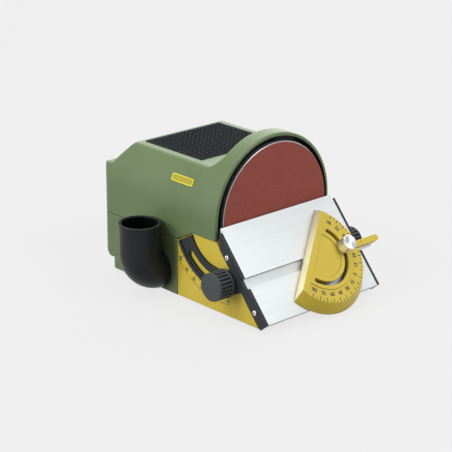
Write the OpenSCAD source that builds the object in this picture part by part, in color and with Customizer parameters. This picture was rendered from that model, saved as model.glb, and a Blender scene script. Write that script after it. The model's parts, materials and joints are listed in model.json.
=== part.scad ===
// Benchtop disc sander: a tunnel-shaped housing over a direct-drive motor, a vertical sanding disc,
// a tilting table on two arc trunnions, a sliding mitre gauge and a swivelling dust elbow.
// Millimetres. Z is up, the operator stands on the -Y side, the abrasive face lies in the plane y = 0
// and the bench is the plane z = 0.

/* [Spindle and disc] */
// Height of the spindle axis above the bench
spindle_h = 79.4; // [78:0.1:83]
// Diameter of the sanding disc
disc_d = 125; // [118:1:130]
// Thickness of the disc plate
disc_t = 6; // [4:0.5:7]
// Thickness of the abrasive sheet
sheet_t = 0.9; // [0.5:0.1:1.5]
// Bare metal left round the sheet
sheet_inset = 0.8; // [0.4:0.1:2]
// Distance from the rim plane out to the abrasive face
disc_proud = 2.9; // [1.5:0.1:4]
// Radial gap between the disc and the housing rim
disc_gap = 4.1; // [3.6:0.1:5]
// Diameter of the hub behind the disc
hub_d = 28; // [22:1:40]
// Length of the hub behind the disc
hub_len = 5.4; // [3:0.2:6]
// Diameter of the motor shaft
shaft_d = 8; // [6:0.5:9]

/* [Housing] */
// Wall thickness of the moulded housings
wall = 2.5; // [2:0.1:3.2]
// Thickness of the lip round the disc
rim_t = 3.4; // [3:0.1:4]
// Length of the housing behind the rim plane
body_len = 154; // [150:1:165]
// Depth of the parting line between the two housings below the spindle axis
part_drop = 24.4; // [22:0.2:28]
// Depth of the apron's lower edge below the spindle axis
apron_drop = 13.4; // [11:0.2:16]
// Length of the apron from the rim plane
apron_len = 30; // [27:0.5:33]
// Distance from the abrasive face back to the seam of the front base
seam_y = 52.5; // [51:0.5:54]
// Height of the flat deck above the spindle axis
deck_rise = 44.6; // [42:0.2:48]
// Length of the full-height arch band behind the rim plane
band_len = 15.8; // [15:0.2:18]
// Radius of the hollow between the arch band and the deck
ramp_r = 14.5; // [8:0.5:16]
// Length of the slope behind the deck
slope_len = 19; // [16:0.5:26]
// Drop of the slope behind the deck
slope_drop = 21.6; // [14:0.2:24]
// Length of the shelf above the rear wall
shelf_len = 10; // [6:0.5:12]
// Lean of the upper rear wall from the parting line up to the shelf
rear_draft = 1.5; // [0.5:0.1:2]
// Radius of the shoulders along the deck
shoulder_r = 5.5; // [4:0.5:14]
// Radius of the upright rear corners
corner_r = 9; // [4:0.5:12]
// Chamfer round the front rim
rim_chamfer = 1; // [0.4:0.1:1.6]
// Height of the rubber feet under the housing
base_gap = 2.3; // [2:0.1:4]
// Thickness of the floors
floor_t = 2.6; // [2:0.1:3.2]
// Depth of the step under the rear wall
heel_step = 10; // [6:0.5:12]
// Height of the undercut heel above the housing's lower edge
heel_h = 10.7; // [9.5:0.1:14]
// Radius under the heel
heel_r = 7; // [3:0.5:9]
// Diameter of the screw pillars
pillar_d = 8; // [7:0.5:10]
// Diameter of the housing screws
screw_d = 3.2; // [2.6:0.1:4]
// Shadow gap along the parting line
seam_gap = 0.6; // [0.2:0.1:0.8]
// Step from the housing's side in to the cheeks
cheek_step = 0.5; // [0.3:0.1:0.8]
// Clearance between pieces that seat in each other
seat_gap = 0.3; // [0.2:0.05:0.4]

/* [Deck mat] */
// Width of the mat
mat_w = 90; // [70:1:94]
// Length of the mat
mat_len = 76; // [60:1:80]
// Distance from the arch band to the mat
mat_setback = 29; // [24:0.5:32]
// Thickness of the mat
mat_t = 1.6; // [1.2:0.1:2]
// Height of the mat above the deck
mat_proud = 0.7; // [0.3:0.1:1]

/* [Front base] */
// Thickness of the cheeks' tongues behind the housing
cheek_t = 2.6; // [2.2:0.1:2.8]
// Thickness of the sloping front wall
front_t = 2.6; // [2:0.1:3.4]
// Gap between the table's end plates and the slope below them
slope_gap = 1; // [0.8:0.1:2]
// Distance from the table's inner edge to the top of the front wall
front_top = 22; // [20:0.5:28]
// Height of the cheeks inside the apron
cheek_lap = 8; // [5:0.5:10]
// Length of the cheeks inside the lower housing
cheek_tuck = 3; // [2:0.5:4]
// Diameter of the rubber feet
foot_d = 14; // [10:0.5:18]
// Half the distance between the left and right feet
foot_x = 50; // [44:0.5:54]
// Distance of the front feet before the abrasive face
foot_front = 30; // [22:0.5:34]
// Distance of the rear feet behind the seam
foot_rear = 70.5; // [62:0.5:76]

/* [Table] */
// Width of the table between its end plates
table_w = 136; // [134:0.5:137]
// Depth of the table
table_depth = 93; // [90:0.5:96]
// Thickness of the table
table_t = 4.6; // [4.4:0.1:5.2]
// Gap between the table's inner edge and the abrasive face
table_gap = 1.5; // [1.2:0.1:2.5]
// Distance of the tilt axis below the spindle axis
hinge_drop = 0.4; // [0:0.1:2]
// Tilt shown, below level
table_pose = 49; // [-10:1:50]
// Largest tilt below level
table_down = 50; // [49:1:50]
// Largest tilt above level
table_up = 10; // [5:1:10]
// Distance of the groove's centre from the inner edge
groove_s = 52.6; // [52.6:0.1:54]
// Width of the groove
groove_w = 9.4; // [8:0.1:11]
// Depth of the groove
groove_d = 3.2; // [2.6:0.1:3.4]
// Distance of the first screw channel from the inner edge
channel_in = 25; // [22:0.5:30]
// Distance of the second screw channel from the inner edge
channel_out = 78; // [74:0.5:82]
// Depth of the screw channels below the top
channel_drop = 5.4; // [5:0.1:5.6]
// Diameter of the screw channels
channel_d = 7.2; // [6.4:0.2:7.6]
// Diameter of the table screws
table_screw_d = 3; // [2.5:0.1:3.4]

/* [Trunnions] */
// Thickness of the table's end plates
plate_t = 3; // [2.6:0.1:4]
// Height of the table's end plates
plate_h = 10; // [9.8:0.1:10.6]
// Distance of the end plates from the inner edge
plate_start = 4; // [3:0.5:6]
// Length of the chamfer at the end plates' inner end
plate_run = 11; // [9:0.5:14]
// Radius of the slot's centre line
arc_r = 46.9; // [46:0.1:47.2]
// Distance from the slot's centre line in to the arc's inner edge
arc_in = 10.5; // [8:0.1:10.8]
// Distance from the slot's centre line out to the arc's outer edge
arc_out = 10.3; // [9.8:0.1:10.5]
// Gap between the arc and the cheek
arc_gap = 0.4; // [0.3:0.05:0.6]
// Width of the clamp slot
slot_w = 7.2; // [6.4:0.1:7.6]
// Angle of the arc past the end of the slot
arc_tail = 21; // [18:0.2:22]
// Gap between the arc's end and the housing at the lowest tilt
arc_end_gap = 0.6; // [0.4:0.1:1]
// Least thickness of the trunnion arc, also where a narrow table needs thicker end plates to reach the cheek
arc_t = 2.3; // [2:0.1:2.3]
// Depth of the curved track in the cheek
track_d = 1.2; // [0.8:0.1:1.4]
// Depth of the groove in the arc's outer face
relief_d = 1.4; // [0.8:0.1:1.4]

/* [Clamp knobs] */
// Direction of the clamp studs below the tilt axis, from the front
stud_angle = 77; // [75.5:0.5:77]
// Diameter of the clamp studs
stud_d = 4; // [3.4:0.1:4]
// Diameter of the knob flange
knob_d = 26.2; // [24:0.2:28]
// Length of the knob
knob_len = 16.8; // [14:0.2:18]
// Height of the knob flange
knob_flange = 2.4; // [1.6:0.2:3]
// Number of grooves round the knob
knob_flutes = 22; // [16:1:26]
// Width across the clamp nuts
nut_d = 9; // [8:0.5:10]
// Thickness of the clamp nuts
nut_t = 4; // [3:0.2:5]

/* [Mitre gauge] */
// Place of the gauge's pivot along the groove
mitre_x = 12.5; // [-20:0.5:30]
// Angle shown by the gauge
mitre_pose = 45; // [-85:1:85]
// Radius of the protractor at the table
mitre_r = 52; // [48:0.1:52.2]
// Radius of the protractor's top
mitre_top_r = 45.2; // [42:0.1:46]
// Height of the protractor
mitre_h = 11.2; // [10:0.1:12]
// Distance from the pivot to the fence face
fence_d = 10.2; // [9:0.1:12]
// Radius of the protractor's slot
mitre_slot_r = 27.3; // [26:0.1:28]
// Width of the protractor's slot
mitre_slot_w = 4; // [4:0.1:4.6]
// Outer radius of the raised ring round the slot
ring_out = 32.8; // [32:0.1:34]
// Inner radius of the raised ring round the slot
ring_in = 21.4; // [19:0.1:22.5]
// Height of the raised ring and fence band
ring_h = 0.6; // [0.3:0.1:1]
// Width of the raised band along the fence
band_w = 6; // [5:0.2:6.6]
// Wall thickness of the protractor
mitre_wall = 2.8; // [2.2:0.1:3.4]
// Length of the gauge bar
bar_len = 83; // [78:0.5:90]
// Distance of the pivot from the bar's inner end
bar_back = 11; // [8:0.5:14]
// Clearance of the bar in the groove
bar_gap = 0.3; // [0.2:0.05:0.4]
// Height of the bar above the table
bar_proud = 0.4; // [0.3:0.05:0.6]
// Width of the pointer arm
arm_w = 5.6; // [5:0.1:8]
// Height of the pointer arm
arm_h = 7.4; // [5:0.2:8]
// Reach of the pointer arm from the pivot
arm_len = 77; // [72:0.5:82]
// Diameter of the gauge's clamp knob
mitre_knob_d = 14; // [11:0.2:15]
// Height of the gauge's clamp knob
mitre_knob_h = 12; // [10:0.5:16]
// Diameter of the gauge's clamp stud
mitre_stud_d = 3.2; // [2.6:0.1:3.2]
// Diameter of the gauge's pivot pin
pivot_d = 5; // [4:0.2:6]

/* [Dust elbow] */
// Outer diameter of the elbow
elbow_d = 37.4; // [34:0.2:37.4]
// Wall thickness of the elbow
elbow_wall = 2.2; // [1.6:0.1:3]
// Distance of the elbow behind the abrasive face
elbow_y = 79; // [76:0.5:84]
// Height of the elbow's swivel axis above the housing's lower edge
elbow_h = 19; // [19:0.1:21]
// Bend radius of the elbow's centre line
elbow_bend = 20.4; // [20.2:0.1:24]
// Height of the elbow's mouth above its horizontal leg
elbow_rise = 47.1; // [40:0.2:60]
// Height of the lip round the mouth
lip_h = 2.4; // [1.6:0.2:4]
// Diameter of the elbow's spigot
spigot_d = 32.8; // [28:0.2:32.8]
// Length of the elbow's spigot
spigot_len = 17; // [12:0.5:18]
// Running clearance of turning pieces
run_gap = 0.05; // [0.03:0.01:0.08]

/* [Motor] */
// Room between the motor can and the deck's inside
motor_gap = 5; // [3:0.2:8]
// Wall thickness of the motor can
can_t = 2; // [1.5:0.1:2.5]
// Length of the motor can
motor_len = 80; // [74:1:84]
// Thickness of the end bells' plates
bell_t = 5; // [4:0.2:6]
// Diameter of the bearings
bearing_d = 22; // [19:0.5:26]
// Width of the bearings
bearing_w = 7; // [5:0.2:7]
// Thickness of the bulkhead
bulkhead_t = 3; // [2:0.2:3]
// Thickness of the magnets
magnet_t = 3.6; // [2.5:0.1:4]
// Gap between the motor can and the armature
core_gap = 5; // [4.4:0.1:7]
// Diameter of the commutator
comm_d = 22; // [18:0.5:24]
// Length of the commutator
comm_len = 9; // [7:0.5:10]
// Length of the winding heads
coil_len = 5.4; // [4:0.2:6]
// Room between the motor can and the dust chute
chute_gap = 2.8; // [1:0.2:4]

/* [Controls] */
// Distance of the switch behind the abrasive face
switch_y = 76; // [74:0.5:78]
// Height of the switch and the dial above the housing's lower edge
control_h = 29.7; // [28.8:0.1:31]
// Length of the rocker
rocker_len = 17; // [14:0.5:18]
// Width of the rocker
rocker_w = 11; // [9:0.5:12]
// Distance of the speed dial behind the abrasive face
dial_y = 108; // [106:0.5:109]
// Diameter of the speed dial
dial_d = 22; // [18:0.5:26]
// Height of the speed dial
dial_h = 7; // [5:0.5:9]
// Distance of the cable gland from the middle
gland_x = 40; // [30:0.5:46]
// Depth of the cable gland below the parting line
gland_drop = 16; // [14:0.5:20]
// Diameter of the cable gland's neck
gland_d = 12; // [10:0.2:14]
// Distance of the circuit board from the middle
board_x = 25; // [24.5:0.5:28]
// Width of the circuit board
board_w = 29; // [28.5:0.5:31]
// Height of the circuit board's posts
post_h = 4; // [3:0.2:6]
// Thickness of the circuit board
board_t = 1.6; // [1:0.1:2.4]

/* [Hidden] */
$fn = 96;
eps = 0.01;

// Housing planes and radii
disc_r = disc_d / 2;
lip_in = disc_r + disc_gap;
rim_out = lip_in + rim_t;
rim_in = rim_out - wall;
rim_y = disc_proud;
deck_h = spindle_h + deck_rise;
apron_h = spindle_h - apron_drop;
part_h = spindle_h - part_drop;
rear_y = rim_y + body_len;
band_y = rim_y + band_len;
slope_end = rear_y - shelf_len;
slope_start = slope_end - slope_len;
shelf_h = deck_h - slope_drop;
slope_bend = tan(atan2(slope_drop, slope_len) / 2);
top_h = spindle_h + rim_out;
shoulder_z = deck_h - shoulder_r;
shoulder_x = sqrt(pow(rim_out - shoulder_r, 2) - pow(shoulder_z - spindle_h, 2));
shoulder_a = atan2(shoulder_x, shoulder_z - spindle_h);
floor_z = base_gap + floor_t;
heel_z = base_gap + heel_h;
elbow_z = base_gap + elbow_h;
control_z = base_gap + control_h;
screw_x = rim_in - pillar_d / 2 - 3;
screw_front = seam_y + cheek_tuck + pillar_d / 2 + 1;
heel_y = rear_y - heel_step;
screw_rear = heel_y - pillar_d - heel_r;

// Table frame: origin on the tilt axis, -Y out towards the operator, +Z off the table
hinge_y = -table_gap;
hinge_z = spindle_h - hinge_drop;
cheek_x = rim_out - cheek_step;
tongue_x = lip_in - seat_gap;
cheek_in = tongue_x - cheek_t;
slope_w = plate_h + slope_gap;
slope_foot = (hinge_z - base_gap - slope_w * cos(table_down)) / sin(table_down);
cheek_top = apron_h + cheek_lap;
slope_lip = (hinge_z - apron_h + seat_gap - slope_w * cos(table_down)) / sin(table_down);
stud_y = hinge_y - arc_r * cos(stud_angle);
stud_z = hinge_z - arc_r * sin(stud_angle);
stud_reach = cheek_in - nut_t - 1.5;
slot_a = stud_angle - table_down - 0.6;
slot_b = stud_angle + table_up + 0.6;
arc_a = 8;
arc_b = slot_b + arc_tail;
arc_x0 = cheek_x - track_d + arc_gap;
arc_x1 = max(table_w / 2 + plate_t, arc_x0 + arc_t);
knob_x = arc_x1 + 0.9;

// Mitre gauge heights in the table frame
mitre_z = bar_proud;
mitre_top = mitre_z + mitre_h;
mitre_draft = (mitre_r - mitre_top_r) / mitre_h;

// Motor stations along the spindle
bulk_y1 = band_y - wall;
bulk_y0 = bulk_y1 - bulkhead_t;
can_y0 = bulk_y1 + bell_t;
can_y1 = can_y0 + motor_len;
motor_r = deck_rise - wall - 1 - motor_gap;
shaft_r = shaft_d / 2;
front_pocket = bulk_y1 + 3;
rear_pocket = can_y1 - bearing_w;
fan_y = front_pocket + bearing_w + 2;
core_y0 = fan_y + 13;
core_y1 = rear_pocket - 18;
core_r = motor_r - can_t - core_gap;
comm_r = comm_d / 2;
comm_y0 = core_y1 + coil_len + 1.6;

// Dust path
spigot_r = spigot_d / 2;
socket_r = spigot_r + 1.9;
chute_x0 = -(rim_out + seat_gap - spigot_len) + 2;
chute_x1 = 20;
chute_h = spindle_h - motor_r - chute_gap - floor_z;
chute_t = 2;
chute_y1 = elbow_y + spigot_r + 5;
mouth_step = 2.4;

function tp(s, w, t) = [hinge_y - s * cos(t) - w * sin(t), hinge_z - s * sin(t) + w * cos(t)];

// Extrudes an outline drawn in x and z from y0 to y1.
module along_y(y0, y1) {
    translate([0, y1, 0]) rotate([90, 0, 0]) linear_extrude(y1 - y0) children();
}

// Extrudes an outline drawn in y and z from x0 to x1.
module along_x(x0, x1) {
    translate([x0, 0, 0]) rotate([90, 0, 90]) linear_extrude(x1 - x0) children();
}

module cyl_y(r, y0, y1) {
    translate([0, y0, 0]) rotate([-90, 0, 0]) cylinder(r = r, h = y1 - y0);
}

module cyl_x(r, x0, x1) {
    translate([x0, 0, 0]) rotate([0, 90, 0]) cylinder(r = r, h = x1 - x0);
}

// A box given by two corners.
module span(a, b) {
    translate(a) cube([b[0] - a[0], b[1] - a[1], b[2] - a[2]]);
}

module at_spindle() {
    translate([0, 0, spindle_h]) children();
}

module at_table() {
    translate([0, hinge_y, hinge_z]) rotate([table_pose, 0, 0]) children();
}

module at_mitre() {
    at_table() translate([mitre_x, -groove_s, 0]) children();
}

// A ring sector round the X axis. Angles run from -Y (0) down to -Z (90).
module arc_x(r0, r1, a0, a1, x0, x1) {
    translate([x0, 0, 0]) rotate([90, 0, 90]) rotate([0, 0, 180 + a0])
        rotate_extrude(angle = a1 - a0) translate([r0, 0]) square([r1 - r0, x1 - x0]);
}

// A curved slot round the X axis with round ends.
module slot_x(r, w, a0, a1, x0, x1) {
    arc_x(r - w / 2, r + w / 2, a0, a1, x0, x1);
    for (a = [a0, a1])
        translate([0, -r * cos(a), -r * sin(a)]) cyl_x(w / 2, x0, x1);
}

// Tunnel outline: a half circle on straight sides.
module tunnel_2d(r, low) {
    translate([0, spindle_h]) circle(r = r);
    translate([-r, low]) square([2 * r, spindle_h - low]);
}

// Plan outline with rounded rear corners.
module plan_2d(hw, y0, y1, r) {
    translate([-hw, y0]) square([2 * hw, y1 - r - y0]);
    translate([r - hw, y0]) square([2 * (hw - r), y1 - y0]);
    for (s = [-1, 1]) translate([s * (hw - r), y1 - r]) circle(r = r);
}

// Side outline of the upper housing with its apron, slope and shelf.
module side_2d() {
    polygon([[rim_y, apron_h], [rim_y + apron_len, apron_h], [seam_y, part_h + seam_gap],
             [rear_y, part_h + seam_gap], [rear_y - rear_draft, shelf_h], [slope_end, shelf_h],
             [slope_start - (top_h + 1 - deck_h) * slope_len / slope_drop, top_h + 1], [rim_y, top_h + 1]]);
}

// Side outline of the motor chamber, a wall inside the slope and the shelf.
module chamber_2d() {
    shift = wall * slope_bend;
    roof = deck_h - wall - 1;
    polygon([[band_y - wall, apron_h - 20], [rear_y - wall, apron_h - 20], [rear_y - wall, part_h],
             [rear_y - wall - rear_draft, shelf_h - wall], [slope_end - shift, shelf_h - wall],
             [slope_start - shift + slope_len / slope_drop, roof], [band_y - wall, roof]]);
}

// Outline of the room above the deck, drawn in y and in height above the deck.
module deck_2d() {
    translate([band_y + ramp_r, 0]) square([body_len, top_h]);
    translate([band_y, ramp_r]) square([body_len, top_h]);
    translate([band_y + ramp_r, ramp_r]) circle(r = ramp_r);
}

// Room above the deck: flat in the middle and turned round the shoulders' axes at the sides.
module deck_room() {
    along_x(-shoulder_x - eps, shoulder_x + eps) translate([0, deck_h]) deck_2d();
    for (s = [0, 1]) mirror([s, 0, 0]) translate([shoulder_x, 0, shoulder_z]) rotate([-90, 0, 0])
        rotate([0, 0, -90]) rotate_extrude(angle = shoulder_a - 4) translate([shoulder_r, 0])
            mirror([1, -1, 0]) deck_2d();
}

// Chamfer wedge round the front rim: the half circle and the two straight sides below it.
module rim_wedge() {
    c = rim_chamfer + 1;
    at_spindle() translate([0, rim_y + rim_chamfer, 0]) rotate([90, 0, 0]) rotate_extrude(angle = 180)
        polygon([[rim_out + 1, -1], [rim_out + 1, c], [rim_out - c, c]]);
    for (s = [0, 1]) mirror([s, 0, 0]) translate([0, 0, part_h]) linear_extrude(spindle_h - part_h)
        polygon([[rim_out - c, rim_y - 1], [rim_out + 1, rim_y - 1], [rim_out + 1, rim_y + c]]);
}

module upper_housing() {
    color([0.43, 0.50, 0.38]) {
        difference() {
            intersection() {
                along_y(rim_y, rear_y) tunnel_2d(rim_out, part_h + seam_gap);
                along_x(-rim_out - 1, rim_out + 1) side_2d();
                translate([0, 0, part_h - 1]) linear_extrude(top_h)
                    plan_2d(rim_out, rim_y - 1, rear_y, corner_r);
            }
            // Disc chamber under the arch band
            along_y(rim_y - 1, band_y - wall) tunnel_2d(lip_in, part_h - 1);
            // Motor chamber
            intersection() {
                along_y(band_y - wall - eps, rear_y - wall) tunnel_2d(rim_in, part_h - 1);
                along_x(-rim_out - 1, rim_out + 1) chamber_2d();
                translate([0, 0, part_h - 2]) linear_extrude(top_h)
                    plan_2d(rim_in, rim_y - 1, rear_y - wall, corner_r - wall);
            }
            deck_room();
            rim_wedge();
            // Seat of the deck mat
            translate([-mat_w / 2 - seat_gap, band_y + mat_setback - seat_gap, deck_h - mat_t + mat_proud])
                cube([mat_w + 2 * seat_gap, mat_len + 2 * seat_gap, mat_t]);
            // Cooling slots through the rear wall
            for (i = [-4 : 4]) translate([i * 7.5 - 1.6, rear_y - wall - rear_draft - 1, part_h + 10])
                cube([3.2, wall + rear_draft + 2, 24]);
        }
        // Screw pillars with a web to the side wall
        for (s = [-1, 1], y = [screw_front, screw_rear]) difference() {
            union() {
                translate([s * screw_x, y, part_h]) cylinder(d = pillar_d, h = 22);
                span([min(s * screw_x, s * (rim_in + eps)), y - 1.2, part_h],
                     [max(s * screw_x, s * (rim_in + eps)), y + 1.2, part_h + 22]);
            }
            translate([s * screw_x, y, part_h - 1]) cylinder(d = screw_d, h = 19);
        }
    }
}

// Side outline of the lower housing with the undercut heel, drawn t inside its outer surface.
module heel_2d(t) {
    y0 = t > 0 ? seam_y - 1 : seam_y;
    z0 = t > 0 ? base_gap - 1 : base_gap;
    z1 = t > 0 ? part_h + 1 : part_h;
    r = heel_r;
    translate([y0, z0]) square([heel_y - r - y0, z1 - z0]);
    translate([heel_y - r - eps, base_gap + r]) square([r - t + eps, z1 - base_gap - r]);
    if (t == 0) translate([heel_y - r, base_gap + r]) circle(r = r);
    polygon([[heel_y - t - 1, heel_z + t], [heel_y - t, heel_z + t],
             [rear_y - t, heel_z + t + heel_step * 0.8], [rear_y - t, z1], [heel_y - t - 1, z1]]);
}

// Plan of the lower housing: the heel's rounded corners below, the rear wall's above.
module heel_plan(t) {
    translate([0, 0, -1]) linear_extrude(part_h + 3)
        plan_2d(rim_out - t, seam_y - 2, heel_y - t, corner_r - t);
    translate([0, 0, heel_z + t - eps]) linear_extrude(part_h)
        plan_2d(rim_out - t, seam_y - 2, rear_y - t, corner_r - t);
}

module lower_housing() {
    color([0.38, 0.45, 0.33]) difference() {
        union() {
            difference() {
                intersection() {
                    along_x(-rim_out - 1, rim_out + 1) heel_2d(0);
                    heel_plan(0);
                }
                intersection() {
                    along_x(-rim_out - 1, rim_out + 1) heel_2d(wall);
                    heel_plan(wall);
                }
            }
            // Screw pillars with a web to the side wall
            for (s = [-1, 1], y = [screw_front, screw_rear]) {
                translate([s * screw_x, y, floor_z]) cylinder(d = pillar_d, h = part_h - floor_z);
                span([min(s * screw_x, s * (rim_in + eps)), y - 1.2, floor_z],
                     [max(s * screw_x, s * (rim_in + eps)), y + 1.2, part_h]);
            }
            // Saddle under the motor's rear bell
            difference() {
                span([-rim_in - eps, can_y1 + 1, floor_z], [rim_in + eps, can_y1 + bell_t - 1, part_h]);
                at_spindle() cyl_y(motor_r + seat_gap, can_y1, can_y1 + bell_t);
                span([board_x - 1, can_y1, floor_z + 2], [rim_in + 1, can_y1 + bell_t, part_h - 8]);
            }
            // Socket for the dust elbow
            translate([0, elbow_y, elbow_z]) cyl_x(socket_r, -rim_in - eps, chute_x0);
        }
        translate([0, elbow_y, elbow_z]) cyl_x(spigot_r + run_gap, -rim_out - 1, chute_x0 + 1);
        for (s = [-1, 1], y = [screw_front, screw_rear])
            translate([s * screw_x, y, 0]) cylinder(d = screw_d + 2 * seat_gap, h = part_h + 1);
        // Windows for the switch, the speed dial and the cable gland
        span([rim_in - 1, switch_y - rocker_len / 2 - 2.4, control_z - rocker_w / 2 - 2.4],
             [rim_out + 1, switch_y + rocker_len / 2 + 2.4, control_z + rocker_w / 2 + 2.4]);
        translate([0, dial_y, control_z]) cyl_x(5, rim_in - 1, rim_out + 1);
        translate([gland_x, 0, part_h - gland_drop]) cyl_y(gland_d / 2, rear_y - wall - 1, rear_y + 1);
        // The socket ends level with the lower edge
        span([-rim_in - 1, elbow_y - 30, -2], [rim_in, elbow_y + 30, base_gap]);
    }
}

// The two side cheeks, joined by the floor and the sloping wall under the table. Each cheek lies flush
// between the housing's edges and has a tongue behind them.
module front_base() {
    g = seat_gap;
    color([0.80, 0.66, 0.20]) difference() {
        union() {
            for (s = [0, 1]) mirror([s, 0, 0]) {
                along_x(cheek_in, tongue_x)
                    polygon([tp(slope_foot, -slope_w, table_down), tp(slope_lip, -slope_w, table_down),
                             [rim_y + g, apron_h - g], [rim_y + g, cheek_top], [seam_y - 12, cheek_top],
                             [seam_y + cheek_tuck, part_h - 4],
                             [seam_y + cheek_tuck, base_gap]]);
                along_x(tongue_x - eps, cheek_x)
                    polygon([tp(slope_foot, -slope_w, table_down), tp(slope_lip, -slope_w, table_down),
                             [rim_y + apron_len - 0.3 * g, apron_h - g], [seam_y - g, part_h - 0.6 * g],
                             [seam_y - g, base_gap]]);
            }
            along_x(-cheek_in - 0.5, cheek_in + 0.5)
                polygon([tp(slope_foot, -slope_w, table_down), tp(front_top, -slope_w, table_down),
                         tp(front_top, -slope_w - front_t, table_down),
                         [tp(slope_foot, -slope_w - front_t, table_down)[0] + front_t, floor_z],
                         [tp(slope_foot, -slope_w - front_t, table_down)[0] + front_t, base_gap]]);
            span([-cheek_in - 0.5, tp(slope_foot, -slope_w, table_down)[0] + front_t, base_gap],
                 [cheek_in + 0.5, seam_y + cheek_tuck, floor_z]);
        }
        // Curved tracks for the trunnion arcs, stud holes and foot holes
        translate([0, hinge_y, hinge_z]) for (s = [0, 1]) mirror([s, 0, 0])
            arc_x(arc_r - arc_in - arc_gap, arc_r + arc_out + arc_gap, 20, arc_b + table_down + 2,
                  cheek_x - track_d, cheek_x + 1);
        translate([0, stud_y, stud_z]) cyl_x(stud_d / 2 + seat_gap, -cheek_x - 1, cheek_x + 1);
        for (s = [-1, 1]) translate([s * foot_x, -foot_front, 0]) cylinder(r = 3 + run_gap, h = 20);
    }
}

module rubber_mat() {
    color([0.10, 0.11, 0.11]) translate([-mat_w / 2, band_y + mat_setback, deck_h - mat_t + mat_proud])
        cube([mat_w, mat_len, mat_t]);
}

module base_plate() {
    y0 = seam_y + cheek_tuck + seat_gap;
    y1 = rear_y - heel_step - heel_r - seat_gap;
    color([0.16, 0.17, 0.17]) {
        difference() {
            span([-rim_in + seat_gap, y0, base_gap], [rim_in - seat_gap, y1, floor_z]);
            translate([0, elbow_y, elbow_z]) cyl_x(socket_r + seat_gap, -rim_out, chute_x0 + seat_gap);
            for (s = [-1, 1], y = [screw_front, screw_rear]) translate([s * screw_x, y, 0]) {
                cylinder(d = screw_d + 2 * seat_gap, h = 20);
                cylinder(d = 2 * screw_d + 0.4, h = base_gap + 1.6);
            }
            for (s = [-1, 1]) translate([s * foot_x, seam_y + foot_rear, 0])
                cylinder(r = 3 + run_gap, h = 20);
            // Air slots below the motor
            for (i = [0 : 4]) translate([28, y0 + 18 + 7 * i, base_gap - 1]) cube([26, 2.6, floor_t + 2]);
        }
        // Posts for the circuit board
        for (x = [board_x + 5, board_x + board_w - 4], y = [switch_y - 8, dial_y - 9])
            translate([x, y, floor_z - eps]) cylinder(d = 5, h = post_h);
    }
}

module rubber_feet() {
    color([0.06, 0.06, 0.06])
        for (s = [-1, 1], y = [-foot_front, seam_y + foot_rear]) translate([s * foot_x, y, 0]) {
            cylinder(d1 = foot_d - 0.8, d2 = foot_d, h = base_gap);
            cylinder(r = 3, h = floor_z);
            translate([0, 0, floor_z]) cylinder(r1 = 3.8, r2 = 2.4, h = 1.6);
        }
}

module housing_screws() {
    color([0.62, 0.63, 0.64])
        for (s = [-1, 1], y = [screw_front, screw_rear]) translate([s * screw_x, y, 0]) {
            difference() {
                translate([0, 0, base_gap + 0.2]) cylinder(d = 2 * screw_d, h = 1.4);
                for (a = [0, 90]) rotate([0, 0, a]) translate([-2, -0.4, 0]) cube([4, 0.8, base_gap + 0.9]);
            }
            translate([0, 0, base_gap + 1.5]) cylinder(d = screw_d - 0.04, h = part_h + 16 - base_gap);
        }
}

// Plate behind the disc: carries the motor and closes the disc chamber, with a window to the chute.
module bulkhead() {
    color([0.08, 0.08, 0.08]) difference() {
        union() {
            along_y(bulk_y0, bulk_y1) intersection() {
                tunnel_2d(lip_in - seat_gap, cheek_top + seat_gap);
                translate([-rim_out, cheek_top + seat_gap]) square([2 * rim_out, top_h]);
            }
            span([-cheek_in + seat_gap, bulk_y0, floor_z], [cheek_in - seat_gap, bulk_y1, cheek_top + 1]);
        }
        at_spindle() cyl_y(shaft_r + 3, bulk_y0 - 1, bulk_y1 + 1);
        at_spindle() for (a = [45 : 90 : 315]) rotate([0, a, 0]) translate([motor_r - 8, 0, 0])
            cyl_y(2.2, bulk_y0 - 1, bulk_y1 + 1);
        span([chute_x0 + chute_t, bulk_y0 - 1, floor_z + chute_t],
             [chute_x1 - chute_t, bulk_y1 + 1, floor_z + chute_h - chute_t]);
    }
}

// Closed duct from the disc chamber to the elbow's socket.
module dust_chute() {
    color([0.12, 0.12, 0.12]) difference() {
        span([chute_x0, bulk_y1, floor_z], [chute_x1, chute_y1, floor_z + chute_h]);
        span([chute_x0 + chute_t, bulk_y1 - 1, floor_z + chute_t],
             [chute_x1 - chute_t, chute_y1 - chute_t, floor_z + chute_h - chute_t]);
        translate([0, elbow_y, elbow_z]) cyl_x(spigot_r - 2.6, chute_x0 - 1, chute_x0 + chute_t + 1);
    }
}

module motor_can() {
    color([0.45, 0.46, 0.47]) at_spindle() difference() {
        cyl_y(motor_r, can_y0, can_y1);
        cyl_y(motor_r - can_t, can_y0 - 1, can_y1 + 1);
        // Air windows round the fan
        for (a = [0 : 45 : 315]) rotate([0, a, 0]) translate([-5, fan_y, motor_r - can_t - 1])
            cube([10, 6, can_t + 2]);
    }
}

module front_bell() {
    color([0.66, 0.67, 0.68]) at_spindle() difference() {
        union() {
            cyl_y(motor_r, bulk_y1, can_y0);
            cyl_y(bearing_d / 2 + 3, can_y0 - eps, front_pocket + bearing_w + 0.6);
        }
        cyl_y(bearing_d / 2, front_pocket, front_pocket + bearing_w + 2);
        cyl_y(shaft_r + 1, bulk_y1 - 1, front_pocket + 1);
        for (a = [45 : 90 : 315]) rotate([0, a, 0]) translate([motor_r - 8, 0, 0])
            cyl_y(1.9, bulk_y1 - 1, can_y0 + 1);
    }
}

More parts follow.
